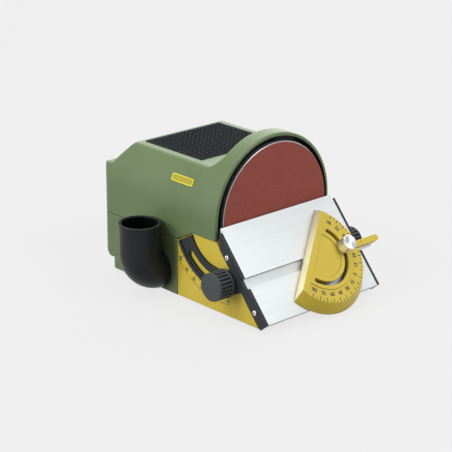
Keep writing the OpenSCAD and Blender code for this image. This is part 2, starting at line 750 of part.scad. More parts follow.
module rear_bell() {
    color([0.66, 0.67, 0.68]) at_spindle() difference() {
        union() {
            cyl_y(motor_r, can_y1, can_y1 + bell_t);
            cyl_y(bearing_d / 2 + 3, rear_pocket - 0.6, can_y1 + eps);
        }
        cyl_y(bearing_d / 2, rear_pocket - 2, can_y1);
        cyl_y(shaft_r + 1, can_y1 - 1, can_y1 + bell_t + 1);
        for (a = [30 : 60 : 330]) rotate([0, a, 0]) translate([motor_r - 12, 0, 0])
            cyl_y(4, can_y1 - 1, can_y1 + bell_t + 1);
    }
}

module magnets() {
    color([0.22, 0.22, 0.23]) at_spindle() intersection() {
        difference() {
            cyl_y(motor_r - can_t - run_gap, core_y0 - 2, core_y1 + 2);
            cyl_y(motor_r - can_t - magnet_t, core_y0 - 3, core_y1 + 3);
        }
        union() {
            for (s = [-1, 1]) span([-motor_r * 0.75, core_y0 - 4, min(s, s * motor_r)],
                                   [motor_r * 0.75, core_y1 + 4, max(s, s * motor_r)]);
        }
    }
}

module ball_bearing(y0) {
    at_spindle() difference() {
        cyl_y(bearing_d / 2 - run_gap, y0, y0 + bearing_w);
        cyl_y(shaft_r + run_gap, y0 - 1, y0 + bearing_w + 1);
        for (y = [y0 - 0.6, y0 + bearing_w - 0.6]) difference() {
            cyl_y(bearing_d / 2 - 2.4, y, y + 1.2);
            cyl_y(shaft_r + 2, y - 1, y + 2);
        }
    }
}

module front_bearing() {
    color([0.75, 0.76, 0.77]) ball_bearing(front_pocket);
}

module rear_bearing() {
    color([0.75, 0.76, 0.77]) ball_bearing(rear_pocket);
}

module brush_holders() {
    ym = comm_y0 + comm_len / 2;
    color([0.70, 0.58, 0.28]) at_spindle() for (s = [0, 1]) mirror([s, 0, 0]) difference() {
        span([comm_r + 2, ym - 4, -4], [motor_r - can_t - 1, ym + 4, 4]);
        span([comm_r + 1, ym - 2.6, -2.6], [motor_r - can_t - 3, ym + 2.6, 2.6]);
    }
}

module carbon_brushes() {
    ym = comm_y0 + comm_len / 2;
    color([0.13, 0.13, 0.13]) at_spindle() for (s = [0, 1]) mirror([s, 0, 0])
        span([comm_r + 0.3, ym - 2.5, -2.5], [motor_r - can_t - 8, ym + 2.5, 2.5]);
}

module motor_screws() {
    color([0.62, 0.63, 0.64]) at_spindle() for (a = [45 : 90 : 315]) rotate([0, a, 0])
        translate([motor_r - 8, 0, 0]) {
            cyl_y(3.4, bulk_y0 - 2.4, bulk_y0);
            cyl_y(1.88, bulk_y0 - 0.1, can_y0 - 0.4);
        }
}

module circuit_board() {
    color([0.10, 0.30, 0.16]) difference() {
        span([board_x, switch_y - 13, floor_z + post_h - eps],
             [board_x + board_w, dial_y + 9, floor_z + post_h + board_t]);
        for (x = [board_x + 5, board_x + board_w - 4], y = [switch_y - 8, dial_y - 9])
            translate([x, y, floor_z]) cylinder(d = 2.4, h = 20);
    }
}

// Heat sink with fins, a choke, a capacitor and a terminal block.
module board_parts() {
    color([0.30, 0.31, 0.33]) translate([board_x, switch_y, floor_z + post_h + board_t]) {
        span([8, 7, 0], [28, 19, 2]);
        for (i = [0 : 5]) span([8 + 3.7 * i, 7, 1.9], [9.5 + 3.7 * i, 19, 8]);
        translate([11, -8, 4]) cyl_y(4, 0, 14);
        translate([22, -2, 0]) cylinder(d = 11, h = 8);
        span([8, dial_y - switch_y + 2, 0], [20, dial_y - switch_y + 7, 7]);
    }
}

// Gland for the mains lead, screwed into the rear wall.
module cable_gland() {
    r = gland_d / 2;
    color([0.07, 0.07, 0.07]) translate([gland_x, 0, part_h - gland_drop]) difference() {
        union() {
            cyl_y(r - 0.1, rear_y - wall - 6, rear_y + 0.5);
            cyl_y(r + 2, rear_y - wall - 4, rear_y - wall);
            cyl_y(r + 2, rear_y, rear_y + 3);
            translate([0, rear_y + 3, 0]) rotate([-90, 0, 0]) cylinder(r1 = r + 1, r2 = r - 1, h = 5);
        }
        cyl_y(r - 2.6, rear_y - wall - 8, rear_y + 10);
    }
}

module switch_body() {
    hl = rocker_len / 2 + 2;
    hw = rocker_w / 2 + 2;
    color([0.07, 0.07, 0.07]) translate([rim_out, switch_y, control_z]) difference() {
        union() {
            span([-18, -hl, -hw], [0.5, hl, hw]);
            span([0, -hl - 2, -hw - 2], [1.6, hl + 2, hw + 2]);
            for (s = [-1, 1]) span([-24, s * 5 - 0.4, -3], [-17, s * 5 + 0.4, 3]);
        }
        span([-11, -rocker_len / 2 - 0.8, -rocker_w / 2 - 0.4],
             [4, rocker_len / 2 + 0.8, rocker_w / 2 + 0.4]);
        translate([-2.5, 0, -rocker_w / 2 - 1.5]) cylinder(r = 1.2 + run_gap, h = rocker_w + 3);
    }
}

// Rocker with a hollowed finger face, turning on two pips.
module power_rocker() {
    hl = rocker_len / 2;
    color([0.55, 0.09, 0.07]) translate([rim_out - 2.5, switch_y, control_z]) {
        translate([0, 0, -rocker_w / 2]) difference() {
            linear_extrude(rocker_w) rotate(7)
                polygon([[-3.4, -hl * 0.55], [-3.4, hl * 0.55], [1.2, hl - 0.4], [4.6, hl - 0.8],
                         [4.2, 0], [4.6, 0.8 - hl], [1.2, 0.4 - hl]]);
            rotate([0, 0, 7]) translate([34.2, 0, -1]) cylinder(r = 30.4, h = rocker_w + 2);
        }
        translate([0, 0, -rocker_w / 2 - 1.2]) cylinder(r = 1.2, h = rocker_w + 2.4);
    }
}

module speed_pot() {
    color([0.20, 0.22, 0.24]) translate([0, dial_y, control_z]) difference() {
        union() {
            cyl_x(8, rim_in - 11, rim_in - 1.6);
            cyl_x(4.8, rim_in - 2, rim_out);
            span([rim_in - 9, -4, -12], [rim_in - 8, 4, -6]);
            cyl_x(7, rim_in - 1.6, rim_in);
        }
        cyl_x(3 + run_gap, rim_in - 8, rim_out + 1);
    }
}

module speed_dial() {
    color([0.07, 0.07, 0.07]) translate([0, dial_y, control_z]) {
        difference() {
            translate([rim_out + 0.4, 0, 0]) rotate([0, 90, 0]) rotate_extrude()
                polygon([[0, 0], [dial_d / 2, 0], [dial_d / 2, 1.4],
                         [dial_d / 2 - 1.2, 2], [dial_d / 2 - 1.8, dial_h - 0.8],
                         [dial_d / 2 - 2.6, dial_h], [0, dial_h]]);
            for (a = [0 : 20 : 340]) rotate([a, 0, 0]) translate([0, 0, dial_d / 2 - 1])
                cyl_x(0.8, rim_out + 2.6, rim_out + dial_h + 2);
            // Index groove
            span([rim_out + dial_h - 0.2, -0.5, 2], [rim_out + dial_h + 1, 0.5, dial_d / 2]);
        }
        cyl_x(3, rim_in - 7, rim_out + 0.5);
    }
}

module clamp_nuts() {
    color([0.62, 0.63, 0.64]) translate([0, stud_y, stud_z]) for (s = [0, 1]) mirror([s, 0, 0])
        translate([cheek_in - nut_t, 0, 0]) rotate([0, 90, 0]) difference() {
            cylinder(d = nut_d / cos(30), h = nut_t, $fn = 6);
            translate([0, 0, -1]) cylinder(r = stud_d / 2 + run_gap, h = nut_t + 2);
        }
}

module motor_shaft() {
    color([0.70, 0.71, 0.72]) at_spindle() cyl_y(shaft_r, sheet_t + 0.4, can_y1 + bell_t - 1);
}

// Slotted armature core.
module armature() {
    color([0.30, 0.30, 0.31]) at_spindle() difference() {
        cyl_y(core_r, core_y0, core_y1);
        cyl_y(shaft_r, core_y0 - 1, core_y1 + 1);
        for (a = [0 : 30 : 330]) rotate([0, a, 0]) translate([0, 0, core_r - 3.4]) {
            cyl_y(2.6, core_y0 - 1, core_y1 + 1);
            translate([-1, core_y0 - 1, 0]) cube([2, core_y1 - core_y0 + 2, 6]);
        }
    }
}

// Heads of the winding at both ends of the core.
module armature_coils() {
    color([0.62, 0.34, 0.16]) at_spindle() for (y = [core_y0 - coil_len, core_y1])
        translate([0, y, 0]) rotate([-90, 0, 0]) rotate_extrude()
            difference() {
                translate([shaft_r + 3, 0]) square([core_r - shaft_r - 6, coil_len]);
                translate([core_r - 3, y < core_y1 ? 0 : coil_len]) circle(r = 2.2);
                translate([shaft_r + 3, y < core_y1 ? 0 : coil_len]) circle(r = 2.2);
            }
}

module commutator() {
    color([0.72, 0.45, 0.25]) at_spindle() difference() {
        cyl_y(comm_r, comm_y0, comm_y0 + comm_len);
        cyl_y(shaft_r, comm_y0 - 1, comm_y0 + comm_len + 1);
        for (a = [0 : 15 : 345]) rotate([0, a, 0]) translate([-0.25, comm_y0 - 1, comm_r - 1])
            cube([0.5, comm_len + 2, 2]);
    }
}

module cooling_fan() {
    color([0.10, 0.10, 0.10]) at_spindle() difference() {
        union() {
            cyl_y(bearing_d / 2, fan_y, fan_y + 6.4);
            cyl_y(core_r, fan_y + 5, fan_y + 6.4);
            for (a = [0 : 40 : 320]) rotate([0, a, 0]) translate([-0.8, fan_y + 0.6, bearing_d / 2 - 1])
                cube([1.6, 5, core_r - bearing_d / 2]);
        }
        cyl_y(shaft_r, fan_y - 1, fan_y + 8);
    }
}

module disc_hub() {
    y0 = sheet_t + disc_t;
    color([0.66, 0.67, 0.68]) at_spindle() difference() {
        union() {
            cyl_y(hub_d / 2, y0, y0 + 3);
            cyl_y(shaft_r + 4, y0, y0 + hub_len);
        }
        cyl_y(shaft_r, y0 - 1, y0 + hub_len + 1);
    }
}

module disc_plate() {
    color([0.78, 0.79, 0.80]) at_spindle() difference() {
        translate([0, sheet_t, 0]) rotate([-90, 0, 0]) rotate_extrude()
            polygon([[shaft_r, 0], [disc_r - 0.4, 0], [disc_r, 0.4],
                     [disc_r, disc_t - 1.2], [disc_r - 1.2, disc_t],
                     [disc_r - 8, disc_t], [disc_r - 11, disc_t - 2], [hub_d / 2 + 6, disc_t - 2],
                     [hub_d / 2 + 3, disc_t], [shaft_r, disc_t]]);
    }
}

module sanding_sheet() {
    color([0.48, 0.23, 0.20]) at_spindle() cyl_y(disc_r - sheet_inset, 0, sheet_t);
}

// Extruded table: flat top, mitre groove in a thickened web, round screw channels and a bevelled inner edge.
module table_top() {
    bevel = table_t * tan(table_down) + 0.6;
    color([0.86, 0.88, 0.89]) at_table() difference() {
        along_x(-table_w / 2, table_w / 2) union() {
            polygon([[0, 0], [-table_depth, 0], [-table_depth, -table_t], [-bevel, -table_t], [-0.2, -0.5]]);
            translate([-groove_s - groove_w / 2 - 2.6, -groove_d - 2.2])
                square([groove_w + 5.2, groove_d + 2]);
            for (s = [channel_in, channel_out]) translate([-s, -channel_drop]) circle(d = channel_d);
            translate([-table_depth, -table_t - 1.4]) square([2.4, 2]);
        }
        span([-table_w, -groove_s - groove_w / 2, -groove_d], [table_w, -groove_s + groove_w / 2, 1]);
        for (s = [channel_in, channel_out]) translate([0, -s, -channel_drop])
            cyl_x(table_screw_d / 2, -table_w, table_w);
    }
}

// End plate of the table and the slotted arc that the clamp stud runs in.
module trunnion() {
    x0 = table_w / 2;
    color([0.15, 0.16, 0.17]) at_table() difference() {
        union() {
            along_x(x0, arc_x1)
                polygon([[-plate_start, 0], [-table_depth, 0], [-table_depth, -plate_h],
                         [-plate_start - plate_run, -plate_h], [-plate_start, -1]]);
            difference() {
                arc_x(arc_r - arc_in, arc_r + arc_out, arc_a, arc_b, arc_x0, arc_x1);
                // Groove along the outer face
                arc_x(arc_r + arc_out - 5.1, arc_r + arc_out - 3.4, slot_a, arc_b + 2,
                      arc_x1 - relief_d, arc_x1 + 1);
            }
            // Bead along the inner edge
            arc_x(arc_r - arc_in, arc_r - arc_in + 2.4, slot_a + 14, slot_b - 1, arc_x1 - eps, arc_x1 + 0.6);
        }
        slot_x(arc_r, slot_w, slot_a, slot_b, arc_x0 - 2, arc_x1 + 4);
        for (s = [channel_in, channel_out]) translate([0, -s, -channel_drop])
            cyl_x(table_screw_d / 2 + seat_gap, x0 - 1, arc_x1 + 1);
        // The arc's end follows the apron's edge with the table at its lowest
        rotate([-table_down, 0, 0]) translate([0, -hinge_y, -hinge_z]) along_x(arc_x0 - 1, arc_x1 + 1)
            polygon([[rim_y + 6, apron_h - arc_end_gap],
                     [rim_y + apron_len - arc_end_gap / 3, apron_h - arc_end_gap],
                     [seam_y - arc_end_gap, part_h - arc_end_gap / 2], [seam_y - arc_end_gap, base_gap],
                     [rear_y, base_gap], [rear_y, deck_h], [rim_y + 6, deck_h]]);
        // Notch that lets the mitre bar run out of its groove
        span([x0 - 1, -groove_s - groove_w / 2 - 0.6, -groove_d - 0.4],
             [arc_x1 + 1, -groove_s + groove_w / 2 + 0.6, 1]);
    }
}

module right_trunnion() {
    trunnion();
}

module left_trunnion() {
    mirror([1, 0, 0]) trunnion();
}

module table_screws() {
    x0 = arc_x1;
    color([0.82, 0.83, 0.84]) at_table() for (m = [0, 1], s = [channel_in, channel_out]) mirror([m, 0, 0])
        translate([0, -s, -channel_drop]) difference() {
            union() {
                translate([x0, 0, 0]) rotate([0, 90, 0]) rotate_extrude()
                    polygon([[0, 0], [2.8, 0], [2.7, 0.5], [2.1, 1.1], [1.2, 1.4], [0, 1.4]]);
                cyl_x(table_screw_d / 2 - run_gap, table_w / 2 - 9, x0 + eps);
            }
            for (a = [0, 90]) rotate([a, 0, 0]) span([x0 + 0.6, -1.3, -0.35], [x0 + 2, 1.3, 0.35]);
        }
}

// Fluted clamp knob with a flange against the arc and a plain cap.
module knob() {
    r = knob_d / 2;
    grip = r - 0.4;
    color([0.17, 0.18, 0.19]) translate([knob_x, stud_y, stud_z]) difference() {
        rotate([0, 90, 0]) rotate_extrude()
            polygon([[0, 0], [r - 0.5, 0], [r, 0.5], [r, knob_flange - 0.3], [grip, knob_flange],
                     [grip, knob_len - 0.6], [grip - 0.2, knob_len - 0.2],
                     [grip - 0.6, knob_len], [0, knob_len]]);
        for (i = [0 : knob_flutes - 1]) rotate([i * 360 / knob_flutes, 0, 0]) translate([0, 0, grip])
            cyl_x(1, knob_flange + 0.7, knob_len - 2);
        cyl_x(stud_d / 2, -1, knob_len - 5);
    }
}

module right_knob() {
    knob();
}

module left_knob() {
    mirror([1, 0, 0]) knob();
}

module stud() {
    color([0.70, 0.71, 0.72]) translate([0, stud_y, stud_z])
        cyl_x(stud_d / 2, stud_reach, knob_x + knob_len - 5);
}

module right_stud() {
    stud();
}

module left_stud() {
    mirror([1, 0, 0]) stud();
}

module mitre_bar() {
    w = groove_w - 2 * bar_gap;
    color([0.80, 0.82, 0.83]) at_mitre() difference() {
        span([-bar_back, -w / 2, bar_gap - groove_d], [bar_len - bar_back, w / 2, mitre_z]);
        translate([0, 0, -groove_d - 1]) cylinder(d = pivot_d, h = groove_d + 3);
        translate([mitre_slot_r, 0, -groove_d - 1])
            cylinder(r = mitre_stud_d / 2 + run_gap, h = groove_d + 3);
    }
}

// Pointer arm on the bar, cut round the protractor's flank.
module mitre_pointer() {
    color([0.80, 0.66, 0.20]) at_mitre() difference() {
        union() {
            span([mitre_top_r - 6, -arm_w / 2, mitre_z], [arm_len - arm_w / 2, arm_w / 2, mitre_z + arm_h]);
            translate([arm_len - arm_w / 2, 0, mitre_z]) cylinder(d = arm_w, h = arm_h);
        }
        translate([0, 0, mitre_z - mitre_h]) cylinder(r1 = mitre_r + 0.5 + mitre_draft * mitre_h,
                                                     r2 = mitre_top_r + 0.5 - mitre_draft * mitre_h,
                                                     h = 3 * mitre_h);
    }
}

module mitre_pivot() {
    color([0.70, 0.71, 0.72]) at_mitre() translate([0, 0, bar_gap - groove_d])
        cylinder(d = pivot_d, h = groove_d - bar_gap + mitre_top - 4);
}

// Half-round protractor: conical flank, upright fence face, curved slot in a raised ring, hollow underside.
module mitre_protractor() {
    color([0.80, 0.66, 0.20]) at_mitre() rotate([0, 0, -mitre_pose]) difference() {
        intersection() {
            union() {
                translate([0, 0, mitre_z + bar_gap / 3])
                    cylinder(r1 = mitre_r, r2 = mitre_top_r, h = mitre_h - ring_h);
                intersection() {
                    translate([0, 0, mitre_z + 1]) cylinder(r = mitre_top_r, h = mitre_h - 1);
                    union() {
                        difference() {
                            translate([0, 0, mitre_z + 1]) cylinder(r = ring_out, h = mitre_h - 1);
                            translate([0, 0, mitre_top - ring_h]) cylinder(r = ring_in, h = 2);
                        }
                        span([-fence_d, -mitre_r, mitre_z + 1], [band_w - fence_d, mitre_r, mitre_top]);
                    }
                }
            }
            span([-fence_d, -mitre_r - 1, mitre_z], [mitre_r + 1, mitre_r + 1, mitre_top + 1]);
        }
        // Hollow underside, leaving the fence wall and the pivot boss
        difference() {
            intersection() {
                translate([0, 0, mitre_z - 1])
                    cylinder(r1 = mitre_r - mitre_wall + mitre_draft,
                             r2 = mitre_r - mitre_wall - mitre_draft * (mitre_h - 3.4), h = mitre_h - 2.4);
                span([mitre_wall - fence_d, -mitre_r, mitre_z - 2], [mitre_r, mitre_r, mitre_top]);
            }
            translate([0, 0, mitre_z - 2]) cylinder(d = pivot_d + 5, h = mitre_h);
        }
        translate([0, 0, mitre_z - 1]) cylinder(r = pivot_d / 2 + run_gap, h = mitre_h - 2.5);
        // Slot for the clamp stud
        rotate([0, 0, -88]) rotate_extrude(angle = 176)
            translate([mitre_slot_r - mitre_slot_w / 2, mitre_z]) square([mitre_slot_w, mitre_h + 2]);
        for (a = [-88, 88]) rotate([0, 0, a]) translate([mitre_slot_r, 0, mitre_z])
            cylinder(d = mitre_slot_w, h = mitre_h + 2);
    }
}

module mitre_knob() {
    r = mitre_knob_d / 2;
    color([0.84, 0.85, 0.86]) at_mitre() translate([mitre_slot_r, 0, mitre_top + 0.3]) difference() {
        rotate_extrude()
            polygon([[0, 0], [r - 2, 0], [r - 2, 1.4], [r - 0.5, 1.4], [r, 1.9], [r, mitre_knob_h - 0.8],
                                  [r - 0.8, mitre_knob_h], [r - 1.6, mitre_knob_h], [0, mitre_knob_h - 0.5]]);
        translate([0, 0, -1]) cylinder(d = mitre_stud_d, h = mitre_knob_h - 3);
    }
}

module mitre_stud() {
    color([0.70, 0.71, 0.72]) at_mitre() translate([mitre_slot_r, 0, bar_gap - groove_d])
        cylinder(d = mitre_stud_d, h = groove_d - bar_gap + mitre_top + 0.3 + mitre_knob_h - 4);
}

// A ring outline between two radii.
module ring_2d(r0, r1) {
    difference() {
        circle(r = r1);
        circle(r = r0);
    }
}

// Elbow: spigot in the socket, quarter bend and upright mouth with a wider bore and a lip.
module dust_elbow() {
    r = elbow_d / 2;
    b = elbow_bend;
    bore = spigot_r - 2;
    mouth = r - elbow_wall;
    color([0.13, 0.14, 0.15]) translate([-rim_out - seat_gap, elbow_y, elbow_z]) {
        rotate([0, 90, 0]) linear_extrude(spigot_len) ring_2d(bore, spigot_r);
        translate([0, 0, b]) rotate([90, 0, 0]) rotate([0, 0, 180]) rotate_extrude(angle = 90)
            translate([b, 0]) ring_2d(bore, r);
        translate([-b, 0, b]) linear_extrude(mouth_step) ring_2d(bore, r);
        translate([-b, 0, b + mouth_step]) linear_extrude(elbow_rise - b - mouth_step - lip_h)
            ring_2d(mouth, r);
        translate([-b, 0, elbow_rise - lip_h]) linear_extrude(lip_h) ring_2d(mouth, r + 0.4);
    }
}

lower_housing();
upper_housing();
front_base();
rubber_mat();
base_plate();
rubber_feet();
housing_screws();
bulkhead();
dust_chute();
motor_can();
front_bell();
rear_bell();
magnets();
front_bearing();
rear_bearing();
brush_holders();
carbon_brushes();
motor_screws();
circuit_board();
board_parts();
cable_gland();
switch_body();
speed_pot();
clamp_nuts();
motor_shaft();
armature();
armature_coils();
commutator();
cooling_fan();
disc_hub();
disc_plate();
sanding_sheet();
table_top();
left_trunnion();
right_trunnion();
table_screws();
left_knob();
left_stud();
right_knob();
right_stud();
mitre_bar();
mitre_pointer();
mitre_pivot();
mitre_protractor();
mitre_knob();
mitre_stud();
dust_elbow();
power_rocker();
speed_dial();
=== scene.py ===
import json
import math

import bpy
import numpy as np
from mathutils import Matrix


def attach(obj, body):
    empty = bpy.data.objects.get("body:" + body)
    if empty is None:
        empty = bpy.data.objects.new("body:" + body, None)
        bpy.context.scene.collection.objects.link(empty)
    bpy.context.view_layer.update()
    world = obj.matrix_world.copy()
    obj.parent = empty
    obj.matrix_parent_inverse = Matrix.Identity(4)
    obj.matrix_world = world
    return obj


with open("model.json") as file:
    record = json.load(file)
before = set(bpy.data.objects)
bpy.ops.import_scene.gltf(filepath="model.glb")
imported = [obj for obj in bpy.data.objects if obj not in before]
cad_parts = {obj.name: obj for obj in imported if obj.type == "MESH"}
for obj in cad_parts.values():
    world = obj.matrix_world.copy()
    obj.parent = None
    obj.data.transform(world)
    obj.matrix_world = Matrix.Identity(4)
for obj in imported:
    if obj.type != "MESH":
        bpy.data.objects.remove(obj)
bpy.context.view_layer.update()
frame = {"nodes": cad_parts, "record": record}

scene = bpy.context.scene
cadNodes = frame["nodes"]
mm = 0.001
print("frame loaded,", len(cadNodes), "nodes")

# The sander's main planes in millimetres: disc face at y 0, bench at z 0, table hinged on its inner top edge
sander = {"hingeY": -1.5, "hingeZ": 79.0, "tilt": 49.0, "spindleZ": 79.4, "shellR": 70.0, "cheekX": 69.5,
          "seamZ": 55.0, "studY": -12.05, "studZ": 33.3, "mouth": (-90.7, 79.0, 68.4)}

# The camera that was fitted to the photograph
cameraSet = {"azimuth": -43.03, "elevation": 19.93, "roll": 0.43, "lens": 125.63,
             "target": (-60.08, 0.0, 79.15), "distance": 1354.16}


# The camera sits at the target plus its distance along the view direction; roll turns right and up about it.
def setCamera(c):
    a, e, r = (math.radians(c[k]) for k in ("azimuth", "elevation", "roll"))
    back = np.array([math.sin(a) * math.cos(e), -math.cos(a) * math.cos(e), math.sin(e)])
    right = np.array([math.cos(a), math.sin(a), 0.0])
    up = np.cross(back, right)
    turned = math.cos(r) * right + math.sin(r) * up
    lifted = -math.sin(r) * right + math.cos(r) * up
    spot = (np.array(c["target"]) + back * c["distance"]) * mm
    data = bpy.data.cameras.new("benchCamera")
    data.sensor_width = 36.0
    data.lens = c["lens"]
    data.clip_start, data.clip_end = 0.01, 60.0
    cam = bpy.data.objects.new("benchCamera", data)
    scene.collection.objects.link(cam)
    m = np.eye(4)
    m[:3, 0], m[:3, 1], m[:3, 2], m[:3, 3] = turned, lifted, back, spot
    cam.matrix_world = Matrix(m.tolist())
    scene.camera = cam


# Strength of the world for plain and for seen rays, tones, share, size and drop of the floor, and each lamp's spot,
# aim, side and power
lightSet = {"world": 0.26, "worldSeen": 0.8556, "floorTone": 0.93, "floorMatte": 0.4, "floorShare": 0.82,
            "floorHalf": 14.0, "floorDrop": 0.0002}
lampSet = {"keyLamp": ((-1.85, 0.75, 0.5), (0, 0, 0.06), 0.8, 18.0),
           "highLamp": ((-1.5, 0.6, 1.5), (0, 0, 0.06), 0.8, 16.0),
           "topLamp": ((0.1, 0.5, 2.2), (0, 0.05, 0.1), 1.6, 20.0),
           "frontLamp": ((0.3, -0.95, 1.05), (0, -0.03, 0.06), 0.7, 11.0),
           "sideLamp": ((1.9, 0.3, 0.8), (0, 0, 0.06), 1.2, 10.0),
           "rearLamp": ((1.4, 1.5, 0.8), (0, 0.05, 0.1), 2.2, 26.0)}


# A square lamp at a spot, facing a point.
def softLamp(name, spot, aim, side, power):
    data = bpy.data.lights.new(name, "AREA")
    data.shape, data.size, data.energy = "SQUARE", side, power
    lamp = bpy.data.objects.new(name, data)
    scene.collection.objects.link(lamp)
    back = np.array(spot, float) - np.array(aim, float)
    back /= np.linalg.norm(back)
    across = np.cross([0.0, 0.0, 1.0] if abs(back[2]) < 0.99 else [0.0, 1.0, 0.0], back)
    across /= np.linalg.norm(across)
    m = np.eye(4)
    m[:3, 0], m[:3, 1], m[:3, 2], m[:3, 3] = across, np.cross(back, across), back, spot
    lamp.matrix_world = Matrix(m.tolist())


# One value for camera, mirror and glass rays and another for the rest: the rest's value plus the difference times
# the largest of the three flags.
def pathValue(t, rest, seen):
    ray = t.nodes.new("ShaderNodeLightPath")
    flag = ray.outputs["Is Camera Ray"]
    for name in ("Is Glossy Ray", "Is Transmission Ray"):
        top = t.nodes.new("ShaderNodeMath")
        top.operation = "MAXIMUM"
        t.links.new(flag, top.inputs[0])
        t.links.new(ray.outputs[name], top.inputs[1])
        flag = top.outputs[0]
    value = t.nodes.new("ShaderNodeMath")
    value.operation = "MULTIPLY_ADD"
    value.inputs[1].default_value, value.inputs[2].default_value = seen - rest, rest
    t.links.new(flag, value.inputs[0])
    return value.outputs[0]


# A wide flat sheet just under the feet. Camera, mirror and glass rays see mostly its plain pale colour, so the
# lamps leave only a light shadow on it.
def layFloor(p):
    mesh = bpy.data.meshes.new("benchFloor")
    s, z = p["floorHalf"], -p["floorDrop"]
    mesh.from_pydata([(-s, -s, z), (s, -s, z), (s, s, z), (-s, s, z)], [], [(0, 1, 2, 3)])
    floor = bpy.data.objects.new("benchFloor", mesh)
    scene.collection.objects.link(floor)
    mat = bpy.data.materials.new("paleFloor")
    mat.use_nodes = True
    t = mat.node_tree
    t.nodes.clear()
    out = t.nodes.new("ShaderNodeOutputMaterial")
    mix = t.nodes.new("ShaderNodeMixShader")
    matte = t.nodes.new("ShaderNodeBsdfDiffuse")
    matte.inputs["Color"].default_value = (*[p["floorMatte"]] * 3, 1)
    glow = t.nodes.new("ShaderNodeEmission")
    glow.inputs["Color"].default_value = (*[p["floorTone"]] * 3, 1)
    t.links.new(pathValue(t, 0.0, p["floorShare"]), mix.inputs[0])
    t.links.new(matte.outputs[0], mix.inputs[1])
    t.links.new(glow.outputs[0], mix.inputs[2])
    t.links.new(mix.outputs[0], out.inputs[0])
    mesh.materials.append(mat)


setCamera(cameraSet)
world = bpy.data.worlds.new("studio")
scene.world = world
world.use_nodes = True
sky = world.node_tree.nodes["Background"]
sky.inputs["Color"].default_value = (1, 1, 1, 1)
skyValue = pathValue(world.node_tree, lightSet["world"], lightSet["worldSeen"])
world.node_tree.links.new(skyValue, sky.inputs["Strength"])
for lampName, lampValues in lampSet.items():
    softLamp(lampName, *lampValues)
layFloor(lightSet)
scene.view_settings.view_transform = "Standard"
print("camera, lamps and floor set")


# A new node group with named inputs and outputs; inputs are (name, kind, value).
def newGroup(name, inputs, outputs):
    g = bpy.data.node_groups.new(name, "ShaderNodeTree")
    for label, kind, value in inputs:
        s = g.interface.new_socket(name=label, in_out="INPUT", socket_type="NodeSocket" + kind)
        s.default_value = value
    for label, kind in outputs:
        g.interface.new_socket(name=label, in_out="OUTPUT", socket_type="NodeSocket" + kind)
    return g, g.nodes.new("NodeGroupInput"), g.nodes.new("NodeGroupOutput")


# A sum, product or other step on numbers or sockets.
def mathNode(t, kind, a, b=None, c=None, clamp=False):
    n = t.nodes.new("ShaderNodeMath")
    n.operation = kind
    n.use_clamp = clamp
    for i, v in enumerate((a, b, c)):
        if v is None:
            continue
        if isinstance(v, (int, float)):
            n.inputs[i].default_value = v
        else:
            t.links.new(v, n.inputs[i])
    return n.outputs[0]


# A vector operation on one or two sockets.
def vectorNode(t, kind, a, b=None):
    n = t.nodes.new("ShaderNodeVectorMath")
    n.operation = kind
    t.links.new(a, n.inputs[0])
    if b is not None:
        t.links.new(b, n.inputs[1])
    return n


# Noise at a scale that is a number or a socket.
def noiseNode(t, vector, scale, detail=2.0, rough=0.5):
    n = t.nodes.new("ShaderNodeTexNoise")
    n.inputs["Detail"].default_value = detail
    n.inputs["Roughness"].default_value = rough
    if isinstance(scale, (int, float)):
        n.inputs["Scale"].default_value = scale
    else:
        t.links.new(scale, n.inputs["Scale"])
    t.links.new(vector, n.inputs["Vector"])
    return n.outputs["Fac"]


# Moulded or sprayed skin: fine noise for the grain, coarse noise for slow changes of tone.
def makeSkin():
    g, gin, gout = newGroup("surfaceSkin", [("Grain", "Float", 2200.0), ("Cloud", "Float", 22.0)],
                            [("Height", "Float"), ("Tone", "Float")])
    co = g.nodes.new("ShaderNodeTexCoord").outputs["Object"]
    fine = noiseNode(g, co, gin.outputs["Grain"], 2.0, 0.55)
    wide = noiseNode(g, co, gin.outputs["Cloud"], 3.0, 0.55)
    half = mathNode(g, "MULTIPLY", gin.outputs["Grain"], 0.37)
    mid = noiseNode(g, co, half, 1.0, 0.5)
    g.links.new(mathNode(g, "MULTIPLY_ADD", mid, 0.5, mathNode(g, "MULTIPLY", fine, 0.5)), gout.inputs["Height"])
    g.links.new(wide, gout.inputs["Tone"])
    return g


# Lines along one axis: noise whose coordinates are squeezed along that axis.
def makeLines():
    g, gin, gout = newGroup("drawnLines", [("Squeeze", "Vector", (0.02, 1.0, 1.0)), ("Scale", "Float", 3000.0)],
                            [("Height", "Float"), ("Tone", "Float")])
    co = g.nodes.new("ShaderNodeTexCoord").outputs["Object"]
    m = vectorNode(g, "MULTIPLY", co, gin.outputs["Squeeze"])
    g.links.new(noiseNode(g, m.outputs[0], gin.outputs["Scale"], 2.0, 0.6), gout.inputs["Height"])
    coarse = mathNode(g, "MULTIPLY", gin.outputs["Scale"], 0.12)
    g.links.new(noiseNode(g, m.outputs[0], coarse, 2.0, 0.5), gout.inputs["Tone"])
    return g


